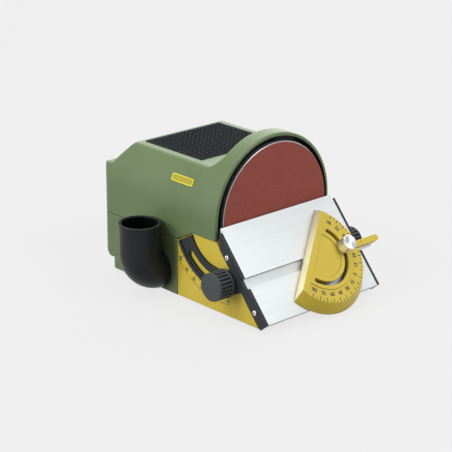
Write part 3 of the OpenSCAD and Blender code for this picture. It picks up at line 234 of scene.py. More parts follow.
# Rings of a lathe tool: noise of the distance from an axis through a centre. The last input adds the square of the
# cosine of the angle from a direction, less a half, to the tone, which paints a reflection of two bright and two
# dark sectors into the colour.
def makeRings():
    g, gin, gout = newGroup("turnedRings", [("Centre", "Vector", (0, 0, 0)), ("Axis", "Vector", (0, 1, 0)),
                                            ("Scale", "Float", 2500.0), ("Right", "Vector", (1, 0, 0)),
                                            ("PaintedSheen", "Float", 0.0)],
                            [("Height", "Float"), ("Tone", "Float")])
    co = g.nodes.new("ShaderNodeTexCoord").outputs["Object"]
    off = vectorNode(g, "SUBTRACT", co, gin.outputs["Centre"]).outputs[0]
    cross = vectorNode(g, "CROSS_PRODUCT", off, gin.outputs["Axis"]).outputs[0]
    size = vectorNode(g, "LENGTH", cross)
    dot = vectorNode(g, "DOT_PRODUCT", off, gin.outputs["Axis"])
    both = g.nodes.new("ShaderNodeCombineXYZ")
    g.links.new(size.outputs["Value"], both.inputs[0])
    g.links.new(dot.outputs["Value"], both.inputs[1])
    g.links.new(noiseNode(g, both.outputs[0], gin.outputs["Scale"], 2.0, 0.6), gout.inputs["Height"])
    coarse = mathNode(g, "MULTIPLY", gin.outputs["Scale"], 0.15)
    tone = noiseNode(g, both.outputs[0], coarse, 1.0, 0.5)
    unit = vectorNode(g, "NORMALIZE", cross).outputs[0]
    aim = vectorNode(g, "DOT_PRODUCT", unit, gin.outputs["Right"]).outputs["Value"]
    fan = mathNode(g, "SUBTRACT", mathNode(g, "MULTIPLY", aim, aim), 0.5)
    g.links.new(mathNode(g, "ADD", tone, mathNode(g, "MULTIPLY", fan, gin.outputs["PaintedSheen"])), gout.inputs["Tone"])
    return g


# Edge mask for worn edges and painted highlights: how far the rounded normal leans from the face normal, broken up
# by noise so worn and highlighted edges are uneven.
def makeEdge():
    g, gin, gout = newGroup("edgeWearAndHighlight", [("Width", "Float", 0.0008), ("Gain", "Float", 4.0)],
                            [("Edge", "Float"), ("Normal", "Vector")])
    bevel = g.nodes.new("ShaderNodeBevel")
    bevel.samples = 6
    g.links.new(gin.outputs["Width"], bevel.inputs["Radius"])
    geo = g.nodes.new("ShaderNodeNewGeometry")
    dot = vectorNode(g, "DOT_PRODUCT", bevel.outputs[0], geo.outputs["Normal"])
    lean = mathNode(g, "SUBTRACT", 1.0, dot.outputs["Value"])
    co = g.nodes.new("ShaderNodeTexCoord").outputs["Object"]
    patch = mathNode(g, "MULTIPLY_ADD", noiseNode(g, co, 160.0, 3.0, 0.6), 1.4, -0.1, True)
    strong = mathNode(g, "MULTIPLY", lean, gin.outputs["Gain"], None, True)
    g.links.new(mathNode(g, "MULTIPLY", strong, patch), gout.inputs["Edge"])
    g.links.new(bevel.outputs[0], gout.inputs["Normal"])
    return g


# Zone mask: one inside a radius about an axis and between two heights along it, with a soft border.
def makeZone():
    g, gin, gout = newGroup("zoneMask", [("Centre", "Vector", (0, 0, 0)), ("Axis", "Vector", (0, 1, 0)),
                                         ("Radius", "Float", 1.0), ("Low", "Float", -1.0), ("High", "Float", 1.0)],
                            [("Mask", "Float")])
    co = g.nodes.new("ShaderNodeTexCoord").outputs["Object"]
    off = vectorNode(g, "SUBTRACT", co, gin.outputs["Centre"]).outputs[0]
    along = vectorNode(g, "DOT_PRODUCT", off, gin.outputs["Axis"]).outputs["Value"]
    cross = vectorNode(g, "CROSS_PRODUCT", off, gin.outputs["Axis"]).outputs[0]
    reach = vectorNode(g, "LENGTH", cross).outputs["Value"]
    sharp = 5000.0
    mask = None
    for high, low in ((gin.outputs["Radius"], reach), (gin.outputs["High"], along), (along, gin.outputs["Low"])):
        near = mathNode(g, "MULTIPLY", mathNode(g, "SUBTRACT", high, low), sharp, None, True)
        mask = near if mask is None else mathNode(g, "MULTIPLY", mask, near)
    g.links.new(mask, gout.inputs["Mask"])
    return g


skinGroup, linesGroup, ringsGroup = makeSkin(), makeLines(), makeRings()
edgeGroup, zoneGroup = makeEdge(), makeZone()
print("shared effects made")


# A group placed in a material, with its values set.
def placeGroup(t, group, **values):
    n = t.nodes.new("ShaderNodeGroup")
    n.node_tree = group
    for k, v in values.items():
        n.inputs[k].default_value = v
    return n


# A mix of two colours, each a triple or a socket.
def mixColour(t, fac, a, b):
    n = t.nodes.new("ShaderNodeMix")
    n.data_type = "RGBA"
    if isinstance(fac, (int, float)):
        n.inputs[0].default_value = fac
    else:
        t.links.new(fac, n.inputs[0])
    for i, v in ((6, a), (7, b)):
        if isinstance(v, (tuple, list)):
            n.inputs[i].default_value = (*v, 1)
        else:
            t.links.new(v, n.inputs[i])
    return n.outputs[2]


toneGain, toneShift = 2.4, -0.7


# One finish: colour runs between two tints with the tone noise and lightens on edges, partly as worn paint and
# partly as painted highlight, roughness varies with the same noise, and grain, lines or rings drive the bump on top
# of a softly rounded normal. Zones have colours of their own, mostly painted shade.
def makeFinish(name, tint, shade, rough, metal=0.0, spread=0.08, wearAndHighlight=(0.3, 0.3, 0.3), wearAndHighlightGain=0.0, width=0.0005,
               grain=2200.0, cloud=22.0, depth=0.02, lines=None, rings=None, fan=None, coat=0.0, coatRough=0.25,
               specular=0.5, zones=()):
    mat = bpy.data.materials.new(name)
    mat.use_nodes = True
    t = mat.node_tree
    bsdf = t.nodes["Principled BSDF"]
    skin = placeGroup(t, skinGroup, Grain=grain, Cloud=cloud)
    edge = placeGroup(t, edgeGroup, Width=width, Gain=wearAndHighlightGain)
    pattern = skin
    if lines:
        pattern = placeGroup(t, linesGroup, Squeeze=lines[:3], Scale=lines[3])
    if rings:
        pattern = placeGroup(t, ringsGroup, Centre=rings[0], Axis=rings[1], Scale=rings[2])
    # A painted reflection: sectors of light and dark laid into the rings' tone
    if fan:
        pattern.inputs["Right"].default_value, pattern.inputs["PaintedSheen"].default_value = fan
    tone = pattern.outputs["Tone"]
    colour = mixColour(t, mathNode(t, "MULTIPLY_ADD", tone, toneGain, toneShift, True), shade, tint)
    # Edges lighten towards the edge tint: partly worn paint, partly painted highlight
    if wearAndHighlightGain > 0:
        colour = mixColour(t, edge.outputs["Edge"], colour, wearAndHighlight)
    for centre, axis, radius, low, high, inside in zones:
        mask = placeGroup(t, zoneGroup, Centre=centre, Axis=axis, Radius=radius, Low=low, High=high)
        colour = mixColour(t, mask.outputs["Mask"], colour, inside)
    t.links.new(colour, bsdf.inputs["Base Color"])
    varied = mathNode(t, "MULTIPLY_ADD", skin.outputs["Tone"], 2 * spread, rough - spread)
    t.links.new(varied, bsdf.inputs["Roughness"])
    bsdf.inputs["Metallic"].default_value = metal
    bsdf.inputs["Specular IOR Level"].default_value = specular
    if coat:
        bsdf.inputs["Coat Weight"].default_value = coat
        bsdf.inputs["Coat Roughness"].default_value = coatRough
    bump = t.nodes.new("ShaderNodeBump")
    bump.inputs["Strength"].default_value = 1.0
    bump.inputs["Distance"].default_value = depth * mm
    t.links.new(pattern.outputs["Height"], bump.inputs["Height"])
    t.links.new(edge.outputs["Normal"], bump.inputs["Normal"])
    t.links.new(bump.outputs["Normal"], bsdf.inputs["Normal"])
    return mat


# A zone of a finish: bounds in millimetres, wide open where none is given, and the colour inside.
def zone(centre, axis, colour, radius=1000.0, low=-1000.0, high=1000.0):
    return centre, axis, radius * mm, low * mm, high * mm, colour


spindleAxis = ((0, 0, sander["spindleZ"] * mm), (0, 1, 0))
tiltRad = math.radians(sander["tilt"])
tableNormal = (0, -math.sin(tiltRad), math.cos(tiltRad))
tableSpot = (0, sander["hingeY"] * mm, sander["hingeZ"] * mm)
seamSpot = (0, 0, sander["seamZ"] * mm)
studSpot = (0, sander["studY"] * mm, sander["studZ"] * mm)
mouthSpot = tuple(v * mm for v in sander["mouth"])
acrossX, acrossZ = (1, 0, 0), (0, 0, 1)

# Bounds of the zones, all painted shade: the disc's chamber, the parting line's two lips, the shaded top of the
# cheeks, the elbow's mouth, the knobs' flutes, the screws' recesses and the table's groove
bound = {"chamberR": 67.1, "chamberY": 18.7, "lipOver": 0.72, "lipUnder": -0.12, "cheekTop": 12.5, "mouthR": 16.9,
         "mouthLow": -27.0, "mouthHigh": -1.0, "fluteR": 12.35, "fluteX": 86.5, "recessX": 72.2, "grooveTop": -0.8}
# Near black for the painted shadow line along the parting line
seamShade = (0.006, 0.008, 0.004)
# Painted shade: the green inside the disc's chamber, round the disc, is coloured near black
chamberShadeZone = zone(*spindleAxis, (0.006, 0.007, 0.005), radius=bound["chamberR"], high=bound["chamberY"])
# Painted shadow line: the lips on both sides of the parting line are coloured near black
upperLipShade = zone(seamSpot, acrossZ, seamShade, high=bound["lipOver"])
lowerLipShade = zone(seamSpot, acrossZ, seamShade, low=bound["lipUnder"])
# Painted shade: the cheeks' yellow high up under the green, above cheekTop, is coloured near black
cheekShadeZone = zone(seamSpot, acrossZ, (0.012, 0.011, 0.006), low=bound["cheekTop"])
# Painted shade: the inside of the elbow's mouth is coloured near black
mouthShadeZone = zone(mouthSpot, acrossZ, (0.003, 0.0034, 0.0036), bound["mouthR"], bound["mouthLow"],
                 bound["mouthHigh"])
# Painted shade: the knobs' flutes, inside the fluteR radius, are coloured near black
fluteShadeZone = zone(studSpot, acrossX, (0.004, 0.0043, 0.0045), bound["fluteR"], -bound["fluteX"], bound["fluteX"])
# Painted shade: the screws' cross recesses, which lie deeper than recessX, are coloured dark grey
recessShadeZone = zone(tableSpot, acrossX, (0.10, 0.105, 0.11), low=-bound["recessX"], high=bound["recessX"])
# Painted shade: the floor of the table's groove is coloured a darker grey
grooveShadeZone = zone(tableSpot, tableNormal, (0.53, 0.555, 0.565), high=bound["grooveTop"])

# Mustard paint, shared by the base and the gauge
mustard = {"tint": (0.60, 0.452, 0.046), "shade": (0.53, 0.395, 0.033), "rough": 0.42, "spread": 0.06,
           "wearAndHighlight": (0.80, 0.66, 0.20), "wearAndHighlightGain": 2.0, "width": 0.0006, "grain": 1500.0, "depth": 0.03,
           "specular": 0.35}

finish = {
    "green_upper": makeFinish("greenShell", (0.122, 0.175, 0.078), (0.108, 0.158, 0.067), 0.40, spread=0.05,
                              wearAndHighlight=(0.34, 0.44, 0.26), wearAndHighlightGain=2.0, width=0.0022, grain=2600.0, depth=0.035,
                              specular=0.3, zones=(chamberShadeZone, upperLipShade)),
    "green_lower": makeFinish("greenTray", (0.118, 0.169, 0.075), (0.104, 0.152, 0.064), 0.42, spread=0.05,
                              wearAndHighlight=(0.30, 0.39, 0.22), wearAndHighlightGain=2.0, width=0.0022, grain=2600.0, depth=0.035,
                              specular=0.28, zones=(lowerLipShade,)),
    "yellow_paint": makeFinish("mustardPaint", zones=(cheekShadeZone,), **mustard),
    "mat_rubber": makeFinish("matRubber", (0.014, 0.017, 0.019), (0.009, 0.011, 0.013), 0.72, spread=0.08,
                             wearAndHighlight=(0.05, 0.055, 0.06), wearAndHighlightGain=2.0, width=0.0003, grain=3200.0, depth=0.04,
                             specular=0.05),
    "foot_rubber": makeFinish("footRubber", (0.018, 0.018, 0.018), (0.011, 0.011, 0.011), 0.75, depth=0.05),
    "black_plastic": makeFinish("blackMoulding", (0.019, 0.0215, 0.0226), (0.014, 0.016, 0.017), 0.32, spread=0.06,
                                wearAndHighlight=(0.07, 0.075, 0.078), wearAndHighlightGain=1.6, width=0.0006, grain=2400.0, depth=0.03,
                                specular=0.16, zones=(mouthShadeZone,)),
    "black_sheet": makeFinish("blackSheet", (0.016, 0.016, 0.017), (0.010, 0.010, 0.011), 0.50,
                              wearAndHighlight=(0.09, 0.09, 0.09), wearAndHighlightGain=1.4, depth=0.02),
    "dark_casting": makeFinish("charcoalCasting", (0.028, 0.032, 0.035), (0.020, 0.024, 0.027), 0.52, spread=0.07,
                               wearAndHighlight=(0.13, 0.14, 0.145), wearAndHighlightGain=1.8, width=0.0005, grain=1900.0, depth=0.03,
                               specular=0.2),
    "knob_plastic": makeFinish("knobPlastic", (0.056, 0.063, 0.066), (0.045, 0.051, 0.054), 0.5, spread=0.06,
                               wearAndHighlight=(0.12, 0.125, 0.13), wearAndHighlightGain=1.6, width=0.00015, grain=2600.0, depth=0.02,
                               specular=0.2, zones=(fluteShadeZone,)),
    "screw_steel": makeFinish("brightScrew", (0.86, 0.87, 0.88), (0.78, 0.79, 0.80), 0.36, metal=0.5, depth=0.004,
                              width=0.0002, zones=(recessShadeZone,)),
    "steel": makeFinish("turnedSteel", (0.62, 0.63, 0.64), (0.46, 0.47, 0.48), 0.32, metal=1.0, depth=0.006,
                        rings=(*spindleAxis, 3000.0)),
    "motor_steel": makeFinish("drawnSteel", (0.40, 0.41, 0.42), (0.30, 0.31, 0.32), 0.38, metal=0.9, depth=0.006,
                              lines=(1.0, 0.03, 1.0, 2600.0)),
    "cast_aluminium": makeFinish("castAluminium", (0.60, 0.61, 0.62), (0.48, 0.49, 0.50), 0.52, metal=0.9,
                                 grain=900.0, depth=0.06),
    "ferrite": makeFinish("ferriteBlock", (0.070, 0.070, 0.075), (0.045, 0.045, 0.05), 0.62, depth=0.05),
    "brass": makeFinish("stampedBrass", (0.72, 0.52, 0.20), (0.58, 0.40, 0.14), 0.34, metal=1.0, depth=0.006),
    "copper": makeFinish("woundCopper", (0.66, 0.29, 0.12), (0.42, 0.17, 0.07), 0.36, metal=0.8, depth=0.10,
                         rings=(*spindleAxis, 900.0)),
    "carbon": makeFinish("brushCarbon", (0.030, 0.030, 0.031), (0.018, 0.018, 0.019), 0.55, depth=0.03),
    "board_green": makeFinish("boardLacquer", (0.016, 0.12, 0.045), (0.010, 0.085, 0.030), 0.25, depth=0.01,
                              coat=0.4),
    "disc_aluminium": makeFinish("turnedDisc", (0.46, 0.47, 0.48), (0.36, 0.37, 0.38), 0.36, metal=0.9, depth=0.004,
                                 rings=(*spindleAxis, 2600.0)),
    "table_aluminium": makeFinish("tableAluminium", (0.625, 0.655, 0.667), (0.585, 0.615, 0.627), 0.44, metal=0.4,
                                  spread=0.03, wearAndHighlight=(0.95, 0.96, 0.96), wearAndHighlightGain=1.0, width=0.0003, depth=0.008,
                                  lines=(0.012, 1.0, 1.0, 2600.0), zones=(grooveShadeZone,)),
    "bar_aluminium": makeFinish("barAluminium", (0.78, 0.79, 0.80), (0.68, 0.69, 0.70), 0.36, metal=0.8,
                                depth=0.008, lines=(0.02, 1.0, 1.0, 2600.0)),
    "rocker_red": makeFinish("rockerRed", (0.42, 0.018, 0.014), (0.34, 0.012, 0.010), 0.25, spread=0.04, depth=0.01,
                             coat=0.3),
}


# Sanding sheet: cells per metre, two tints of the resin, and limit, strength and tint of bright and of dark grains
grit = {"cells": 2400.0, "cloud": 55.0, "resin": (0.235, 0.042, 0.027), "resinPale": (0.285, 0.055, 0.037),
        "brightFrom": 0.86, "bright": 0.3, "brightTint": (0.44, 0.18, 0.14),
        "darkTo": 0.16, "dark": 0.35, "darkTint": (0.10, 0.022, 0.016),
        "rough": 0.66, "roughSpan": 0.2, "depth": 0.12}


# Close-packed grit cells set the height, and each cell has its own tint between resin and grain.
def makeAbrasive(p):
    mat = bpy.data.materials.new("abrasiveGrit")
    mat.use_nodes = True
    t = mat.node_tree
    bsdf = t.nodes["Principled BSDF"]
    co = t.nodes.new("ShaderNodeTexCoord").outputs["Object"]
    cell = t.nodes.new("ShaderNodeTexVoronoi")
    cell.inputs["Scale"].default_value = p["cells"]
    t.links.new(co, cell.inputs["Vector"])
    pick = t.nodes.new("ShaderNodeSeparateColor")
    t.links.new(cell.outputs["Color"], pick.inputs[0])
    cloud = noiseNode(t, co, p["cloud"], 4.0, 0.6)
    spread = mathNode(t, "MULTIPLY_ADD", cloud, 1.6, -0.3, True)
    base = mixColour(t, spread, p["resin"], p["resinPale"])
    bright = mathNode(t, "GREATER_THAN", pick.outputs[0], p["brightFrom"])
    dark = mathNode(t, "LESS_THAN", pick.outputs[1], p["darkTo"])
    tinted = mixColour(t, mathNode(t, "MULTIPLY", bright, p["bright"]), base, p["brightTint"])
    shaded = mixColour(t, mathNode(t, "MULTIPLY", dark, p["dark"]), tinted, p["darkTint"])
    t.links.new(shaded, bsdf.inputs["Base Color"])
    varied = mathNode(t, "MULTIPLY_ADD", pick.outputs[2], p["roughSpan"], p["rough"])
    t.links.new(varied, bsdf.inputs["Roughness"])
    bump = t.nodes.new("ShaderNodeBump")
    bump.inputs["Distance"].default_value = p["depth"] * mm
    t.links.new(mathNode(t, "SUBTRACT", 1.0, cell.outputs["Distance"]), bump.inputs["Height"])
    t.links.new(bump.outputs["Normal"], bsdf.inputs["Normal"])
    return mat


finish["abrasive"] = makeAbrasive(grit)


# Points on the table, in millimetres: s runs out from the hinge and w stands off the top.
def onTable(x, s, w):
    c, k = math.cos(tiltRad), math.sin(tiltRad)
    x, s, w = np.broadcast_arrays(np.asarray(x, float), np.asarray(s, float), np.asarray(w, float))
    return np.stack([x, sander["hingeY"] - s * c - w * k, sander["hingeZ"] - s * k + w * c], -1)


gauge = {"pivotX": 12.5, "pivotS": 52.6, "pose": 45.0, "slotR": 27.3, "flatW": 11.1, "numberR": 37.4, "tickR": 44.8,
         "size": 4.9, "ink": 0.05, "ringOut": 33.2, "ringIn": 21.0, "flatLow": 10.8, "flatHigh": 11.35,
         "bandLow": 3.9, "bandHigh": 4.3, "fenceLow": 10.05, "fan": 0.8,
         "stretch": 0.985, "tickLong": 3.6, "tickShort": 1.7, "tickHalf": 0.36}
poseRad = math.radians(gauge["pose"])
fenceNormal = (-math.cos(poseRad), math.sin(poseRad) * math.cos(tiltRad), math.sin(poseRad) * math.sin(tiltRad))
knobSpot = tuple(onTable(gauge["pivotX"] + gauge["slotR"], gauge["pivotS"], 0.0) * mm)
pivotSpot = tuple(onTable(gauge["pivotX"], gauge["pivotS"], 0.0) * mm)
# The turned knob's colour carries a painted reflection: bright and dark sectors set by the fence's normal
finish["knob_aluminium"] = makeFinish("turnedKnob", (0.97, 0.972, 0.975), (0.44, 0.45, 0.465), 0.30, metal=0.75,
                                      depth=0.0008, width=0.0004, rings=(knobSpot, tableNormal, 2200.0),
                                      fan=(fenceNormal, gauge["fan"]))

# The gauge's paint has painted shade at the feet of its ring, is plain inside, has a painted shadow line along the
# band and a painted highlight on the fence
flat = (gauge["flatLow"], gauge["flatHigh"])
gaugeShadeAndHighlightZones = (zone(pivotSpot, tableNormal, (0.24, 0.175, 0.012), gauge["ringOut"], *flat),
              zone(pivotSpot, tableNormal, (0.565, 0.424, 0.04), gauge["ringIn"], *flat),
              zone(pivotSpot, fenceNormal, (0.40, 0.30, 0.024), low=gauge["bandLow"], high=gauge["bandHigh"]),
              zone(pivotSpot, fenceNormal, (0.97, 0.91, 0.62), low=gauge["fenceLow"]))
finish["gauge_yellow"] = makeFinish("gaugePaint", zones=gaugeShadeAndHighlightZones, **mustard)
finish["print"] = makeFinish("printInk", (0.020, 0.020, 0.019), (0.030, 0.030, 0.028), 0.55, depth=0.004)
finish["white"] = makeFinish("markWhite", (0.80, 0.80, 0.78), (0.72, 0.72, 0.70), 0.45, depth=0.004)

slotOf = {s["node"]: s["material_slot"] for s in frame["record"]["subparts"]}
for name, obj in cadNodes.items():
    if len(obj.material_slots) == 0:
        obj.data.materials.append(None)
    for k in range(len(obj.material_slots)):
        obj.material_slots[k].material = finish["gauge_yellow" if name == "mitre_protractor" else slotOf[name]]
print("finishes placed on", len(cadNodes), "nodes,", len(finish), "finishes")


# A mesh from points in millimetres, riding on one body and keeping one slot.
def putPiece(name, verts, faces, mat, body, smooth=False):
    mesh = bpy.data.meshes.new(name)
    mesh.from_pydata((np.asarray(verts) * mm).tolist(), [], [list(map(int, f)) for f in faces])
    mesh.polygons.foreach_set("use_smooth", [smooth] * len(mesh.polygons))
    mesh.materials.append(mat)
    mesh.update()
    piece = bpy.data.objects.new(name, mesh)
    scene.collection.objects.link(piece)
    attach(piece, body)
    return piece


# Boxes: the eight corners are a centre plus and minus three half edges, right-handed.
def boxField(centre, a, b, c):
    sign = np.array([[-1, -1, -1], [1, -1, -1], [1, 1, -1], [-1, 1, -1],
                     [-1, -1, 1], [1, -1, 1], [1, 1, 1], [-1, 1, 1]], float)[None]
    verts = (centre[:, None] + sign[..., :1] * a[:, None] + sign[..., 1:2] * b[:, None]
             + sign[..., 2:] * c[:, None])
    quad = np.array([[0, 3, 2, 1], [4, 5, 6, 7], [0, 1, 5, 4], [1, 2, 6, 5], [2, 3, 7, 6], [3, 0, 4, 7]])
    faces = (quad[None] + 8 * np.arange(len(centre))[:, None, None]).reshape(-1, 4)
    return verts.reshape(-1, 3), faces


# A rectangle carried along a path: at each point the corners are plus and minus a side and a normal half vector.
def ribbon(path, side, normal):
    ring = np.stack([path - side - normal, path + side - normal, path + side + normal, path - side + normal], 1)
    n = len(path)
    i = np.arange(n - 1)[:, None] * 4
    j = np.arange(4)[None]
    k = (j + 1) % 4
    walls = np.stack([i + j, i + k, i + 4 + k, i + 4 + j], -1).reshape(-1, 4)
    ends = np.array([[3, 2, 1, 0], [4 * n - 4, 4 * n - 3, 4 * n - 2, 4 * n - 1]])
    return ring.reshape(-1, 3), np.concatenate([walls, ends])


# A word as a thin solid about the origin: the text becomes a mesh, and its triangles are read as whole arrays.
def wordSolid(word, size, ink, bold=0.035):
    curve = bpy.data.curves.new("word", "FONT")
    curve.body, curve.size, curve.extrude, curve.offset = word, size, ink, bold * size
    curve.align_x, curve.align_y = "CENTER", "CENTER"
    curve.resolution_u = 3
    holder = bpy.data.objects.new("word", curve)
    scene.collection.objects.link(holder)
    bpy.context.view_layer.update()
    mesh = bpy.data.meshes.new_from_object(holder.evaluated_get(bpy.context.evaluated_depsgraph_get()))
    mesh.calc_loop_triangles()
    verts = np.empty(len(mesh.vertices) * 3)
    mesh.vertices.foreach_get("co", verts)
    tris = np.empty(len(mesh.loop_triangles) * 3, int)
    mesh.loop_triangles.foreach_get("vertices", tris)
    bpy.data.objects.remove(holder)
    bpy.data.curves.remove(curve)
    bpy.data.meshes.remove(mesh)
    return verts.reshape(-1, 3), tris.reshape(-1, 3)


# Joins several (vertices, faces) pairs into one.
def joinParts(parts):
    verts, faces, start = [], [], 0
    for v, f in parts:
        verts.append(v)
        faces += [list(q + start) for q in np.asarray(f)]
        start += len(v)
    return np.concatenate(verts), faces


# Places a word with its own right, up and normal directions at a spot.
def setWord(word, size, ink, spot, right, up, normal):
    v, f = wordSolid(word, size, ink)
    return spot + v[:, :1] * right + v[:, 1:2] * up + v[:, 2:] * normal, f


# Square pads of the deck mat
matPads = {"halfX": 45.0, "y0": 47.7, "y1": 123.7, "z": 124.7, "pitch": 5.0, "half": 1.95, "rise": 0.55,
           "margin": 1.2, "ringHalf": (1.0, 0.94, 0.72), "ringLift": (-0.2, 0.62, 1.0)}


# Pads stand on a square grid; each is three square rings of corners, drawn in towards the top.
def makePads(p):
    nx = int((2 * p["halfX"] - 2 * p["margin"]) // p["pitch"])
    ny = int((p["y1"] - p["y0"] - 2 * p["margin"]) // p["pitch"])
    x = (np.arange(nx) - (nx - 1) / 2) * p["pitch"]
    y = (p["y0"] + p["y1"]) / 2 + (np.arange(ny) - (ny - 1) / 2) * p["pitch"]
    gx, gy = (v.ravel() for v in np.meshgrid(x, y, indexing="ij"))
    spot = np.stack([gx, gy, np.full(gx.size, p["z"])], -1)
    square = np.array([[-1, -1], [1, -1], [1, 1], [-1, 1]], float)
    half = np.array(p["ringHalf"]) * p["half"]
    lift = np.array(p["ringLift"]) * p["rise"]
    ring = np.concatenate([half[:, None, None] * square[None], np.broadcast_to(lift[:, None, None], (3, 4, 1))], -1)
    verts = (spot[:, None, None] + ring[None]).reshape(-1, 3)
    j = np.arange(4)
    k = (j + 1) % 4
    wall = np.concatenate([np.stack([4 * i + j, 4 * i + k, 4 * i + 4 + k, 4 * i + 4 + j], -1) for i in range(2)])
    one = np.concatenate([wall, [[8, 9, 10, 11], [3, 2, 1, 0]]])
    faces = (one[None] + 12 * np.arange(len(spot))[:, None, None]).reshape(-1, 4)
    putPiece("mat_pads", verts, faces, finish["mat_rubber"], "base")
    print("mat pads:", len(spot))


makePads(matPads)

# Printed tilt scales on both cheeks: number, angle below the front
tiltScale = {"labels": [("50", 140.8), ("40", 130.4), ("30", 120.2), ("20", 110.0), ("10", 99.8), ("0", 89.6),
                        ("10", 79.4)],
             "numberR": 64.4, "tickIn": 58.9, "tickOut": 61.9, "tickHalf": 0.24, "lineR": 66.9, "lineHalf": 0.2,
             "lineFrom": 77.4, "lineTo": 141.6, "size": 3.9, "ink": 0.04, "first": 79.4, "step": 5.1, "count": 13,
             "shorter": 1.2}


# Angles run from the front (0) down (90) and back; a point is the hinge plus a radius along that angle.
def makeTiltScale(side, p):
    x = side * (sander["cheekX"] + p["ink"] * 0.5)
    hinge = np.array([x, sander["hingeY"], sander["hingeZ"]])
    out = np.array([side, 0.0, 0.0])

    def ray(a):
        a = np.radians(a)
        return np.stack([np.zeros_like(a), -np.cos(a), -np.sin(a)], -1)

    parts = []
    for word, a in p["labels"]:
        up = -ray(np.array(a))
        parts.append(setWord(word, p["size"], p["ink"], hinge + p["numberR"] * -up, np.cross(up, out), up, out))
    marks = p["first"] + p["step"] * np.arange(p["count"])
    long = np.arange(len(marks)) % 2 == 0
    r0 = np.full(len(marks), p["tickIn"])
    r1 = np.where(long, p["tickOut"], p["tickOut"] - p["shorter"])
    d = ray(marks)
    a = d * ((r1 - r0) / 2)[:, None]
    b = np.cross(out, d) * p["tickHalf"]
    parts.append(boxField(hinge + d * ((r0 + r1) / 2)[:, None], a, b, np.broadcast_to(out * p["ink"], a.shape)))
    arc = ray(np.linspace(p["lineFrom"], p["lineTo"], 60))
    parts.append(ribbon(hinge + arc * p["lineR"], arc * p["lineHalf"], np.broadcast_to(out * p["ink"], arc.shape)))
    verts, faces = joinParts(parts)
    name = "tilt_scale_" + ("left" if side < 0 else "right")
    putPiece(name, verts, faces, finish["print"], "base")


makeTiltScale(-1, tiltScale)
makeTiltScale(1, tiltScale)
print("tilt scales printed")


# The gauge's own directions: zero points along the bar at rest, turned back by its pose; angles turn about the
# table normal.
def makeGaugeScale(p):
    pivot = onTable(p["pivotX"], p["pivotS"], p["flatW"] + p["ink"] * 0.5)
    normal = np.array(tableNormal)
    out = np.array([0.0, -math.cos(tiltRad), -math.sin(tiltRad)])
    along = np.array([1.0, 0.0, 0.0])

    def ray(a):
        a = np.radians(np.asarray(a, float) - p["pose"])
        return np.cos(a)[..., None] * along + np.sin(a)[..., None] * -out

    parts = []
    for a in range(-90, 91, 15):
        d = ray(a * p["stretch"])
        spot = pivot + d * p["numberR"]
        parts.append(setWord(str(abs(a)), p["size"], p["ink"], spot, np.cross(-d, normal), -d, normal))
    marks = np.arange(-90, 91, 5.0)
    d = ray(marks * p["stretch"])
    r1 = np.full(len(marks), p["tickR"])
    r0 = np.where(marks % 10 == 0, r1 - p["tickLong"], r1 - p["tickShort"])
    a = d * ((r1 - r0) / 2)[:, None]
    b = np.cross(normal, d) * p["tickHalf"]
    parts.append(boxField(pivot + d * ((r0 + r1) / 2)[:, None], a, b, np.broadcast_to(normal * p["ink"], a.shape)))
    verts, faces = joinParts(parts)
    putPiece("gauge_scale", verts, faces, finish["print"], "mitre_head")


makeGaugeScale(gauge)

# Index stroke on the pointer arm
pointer = {"x": gauge["pivotX"] + 55.0, "w": 7.8, "s": gauge["pivotS"], "half": 1.5, "wide": 0.2, "ink": 0.05}


# One short stroke across the arm's top.
def makeIndex(p):
    out = np.array([[0.0, -math.cos(tiltRad), -math.sin(tiltRad)]])
    spot = onTable([p["x"]], p["s"], p["w"] + p["ink"] * 0.4)
    across, off = np.array([[p["wide"], 0, 0]]), np.array([tableNormal]) * p["ink"]
    verts, faces = boxField(spot, across, -out * p["half"], off)
    putPiece("pointer_index", verts, faces, finish["print"], "mitre_slider")


makeIndex(pointer)
print("gauge scale and index printed")

# Blank plate on the left flank
plate = {"y": 52.0, "z": 108.9, "halfY": 13.9, "halfZ": 3.45, "rise": 0.7, "rim": 0.9, "field": 0.28,
         "fieldTop": 0.6, "power": 9.0, "count": 96}
plateTurn = math.asin((plate["z"] - sander["spindleZ"]) / sander["shellR"])
plateNormal = (-math.cos(plateTurn), 0, math.sin(plateTurn))
plateSpot = (sander["shellR"] * plateNormal[0] * mm, plate["y"] * mm, plate["z"] * mm)
# Below fieldTop the plate is darker: its sunken field, and the foot of its walls, where the dark band is a painted
# shadow round the plate
finish["plate"] = makeFinish("plateYellow", (0.78, 0.70, 0.05), (0.70, 0.62, 0.04), 0.35, spread=0.05, specular=0.3,
                             wearAndHighlight=(0.90, 0.84, 0.22), wearAndHighlightGain=1.0, width=0.0002, depth=0.004,
                             zones=(zone(plateSpot, plateNormal, (0.36, 0.31, 0.022), high=plate["fieldTop"]),))


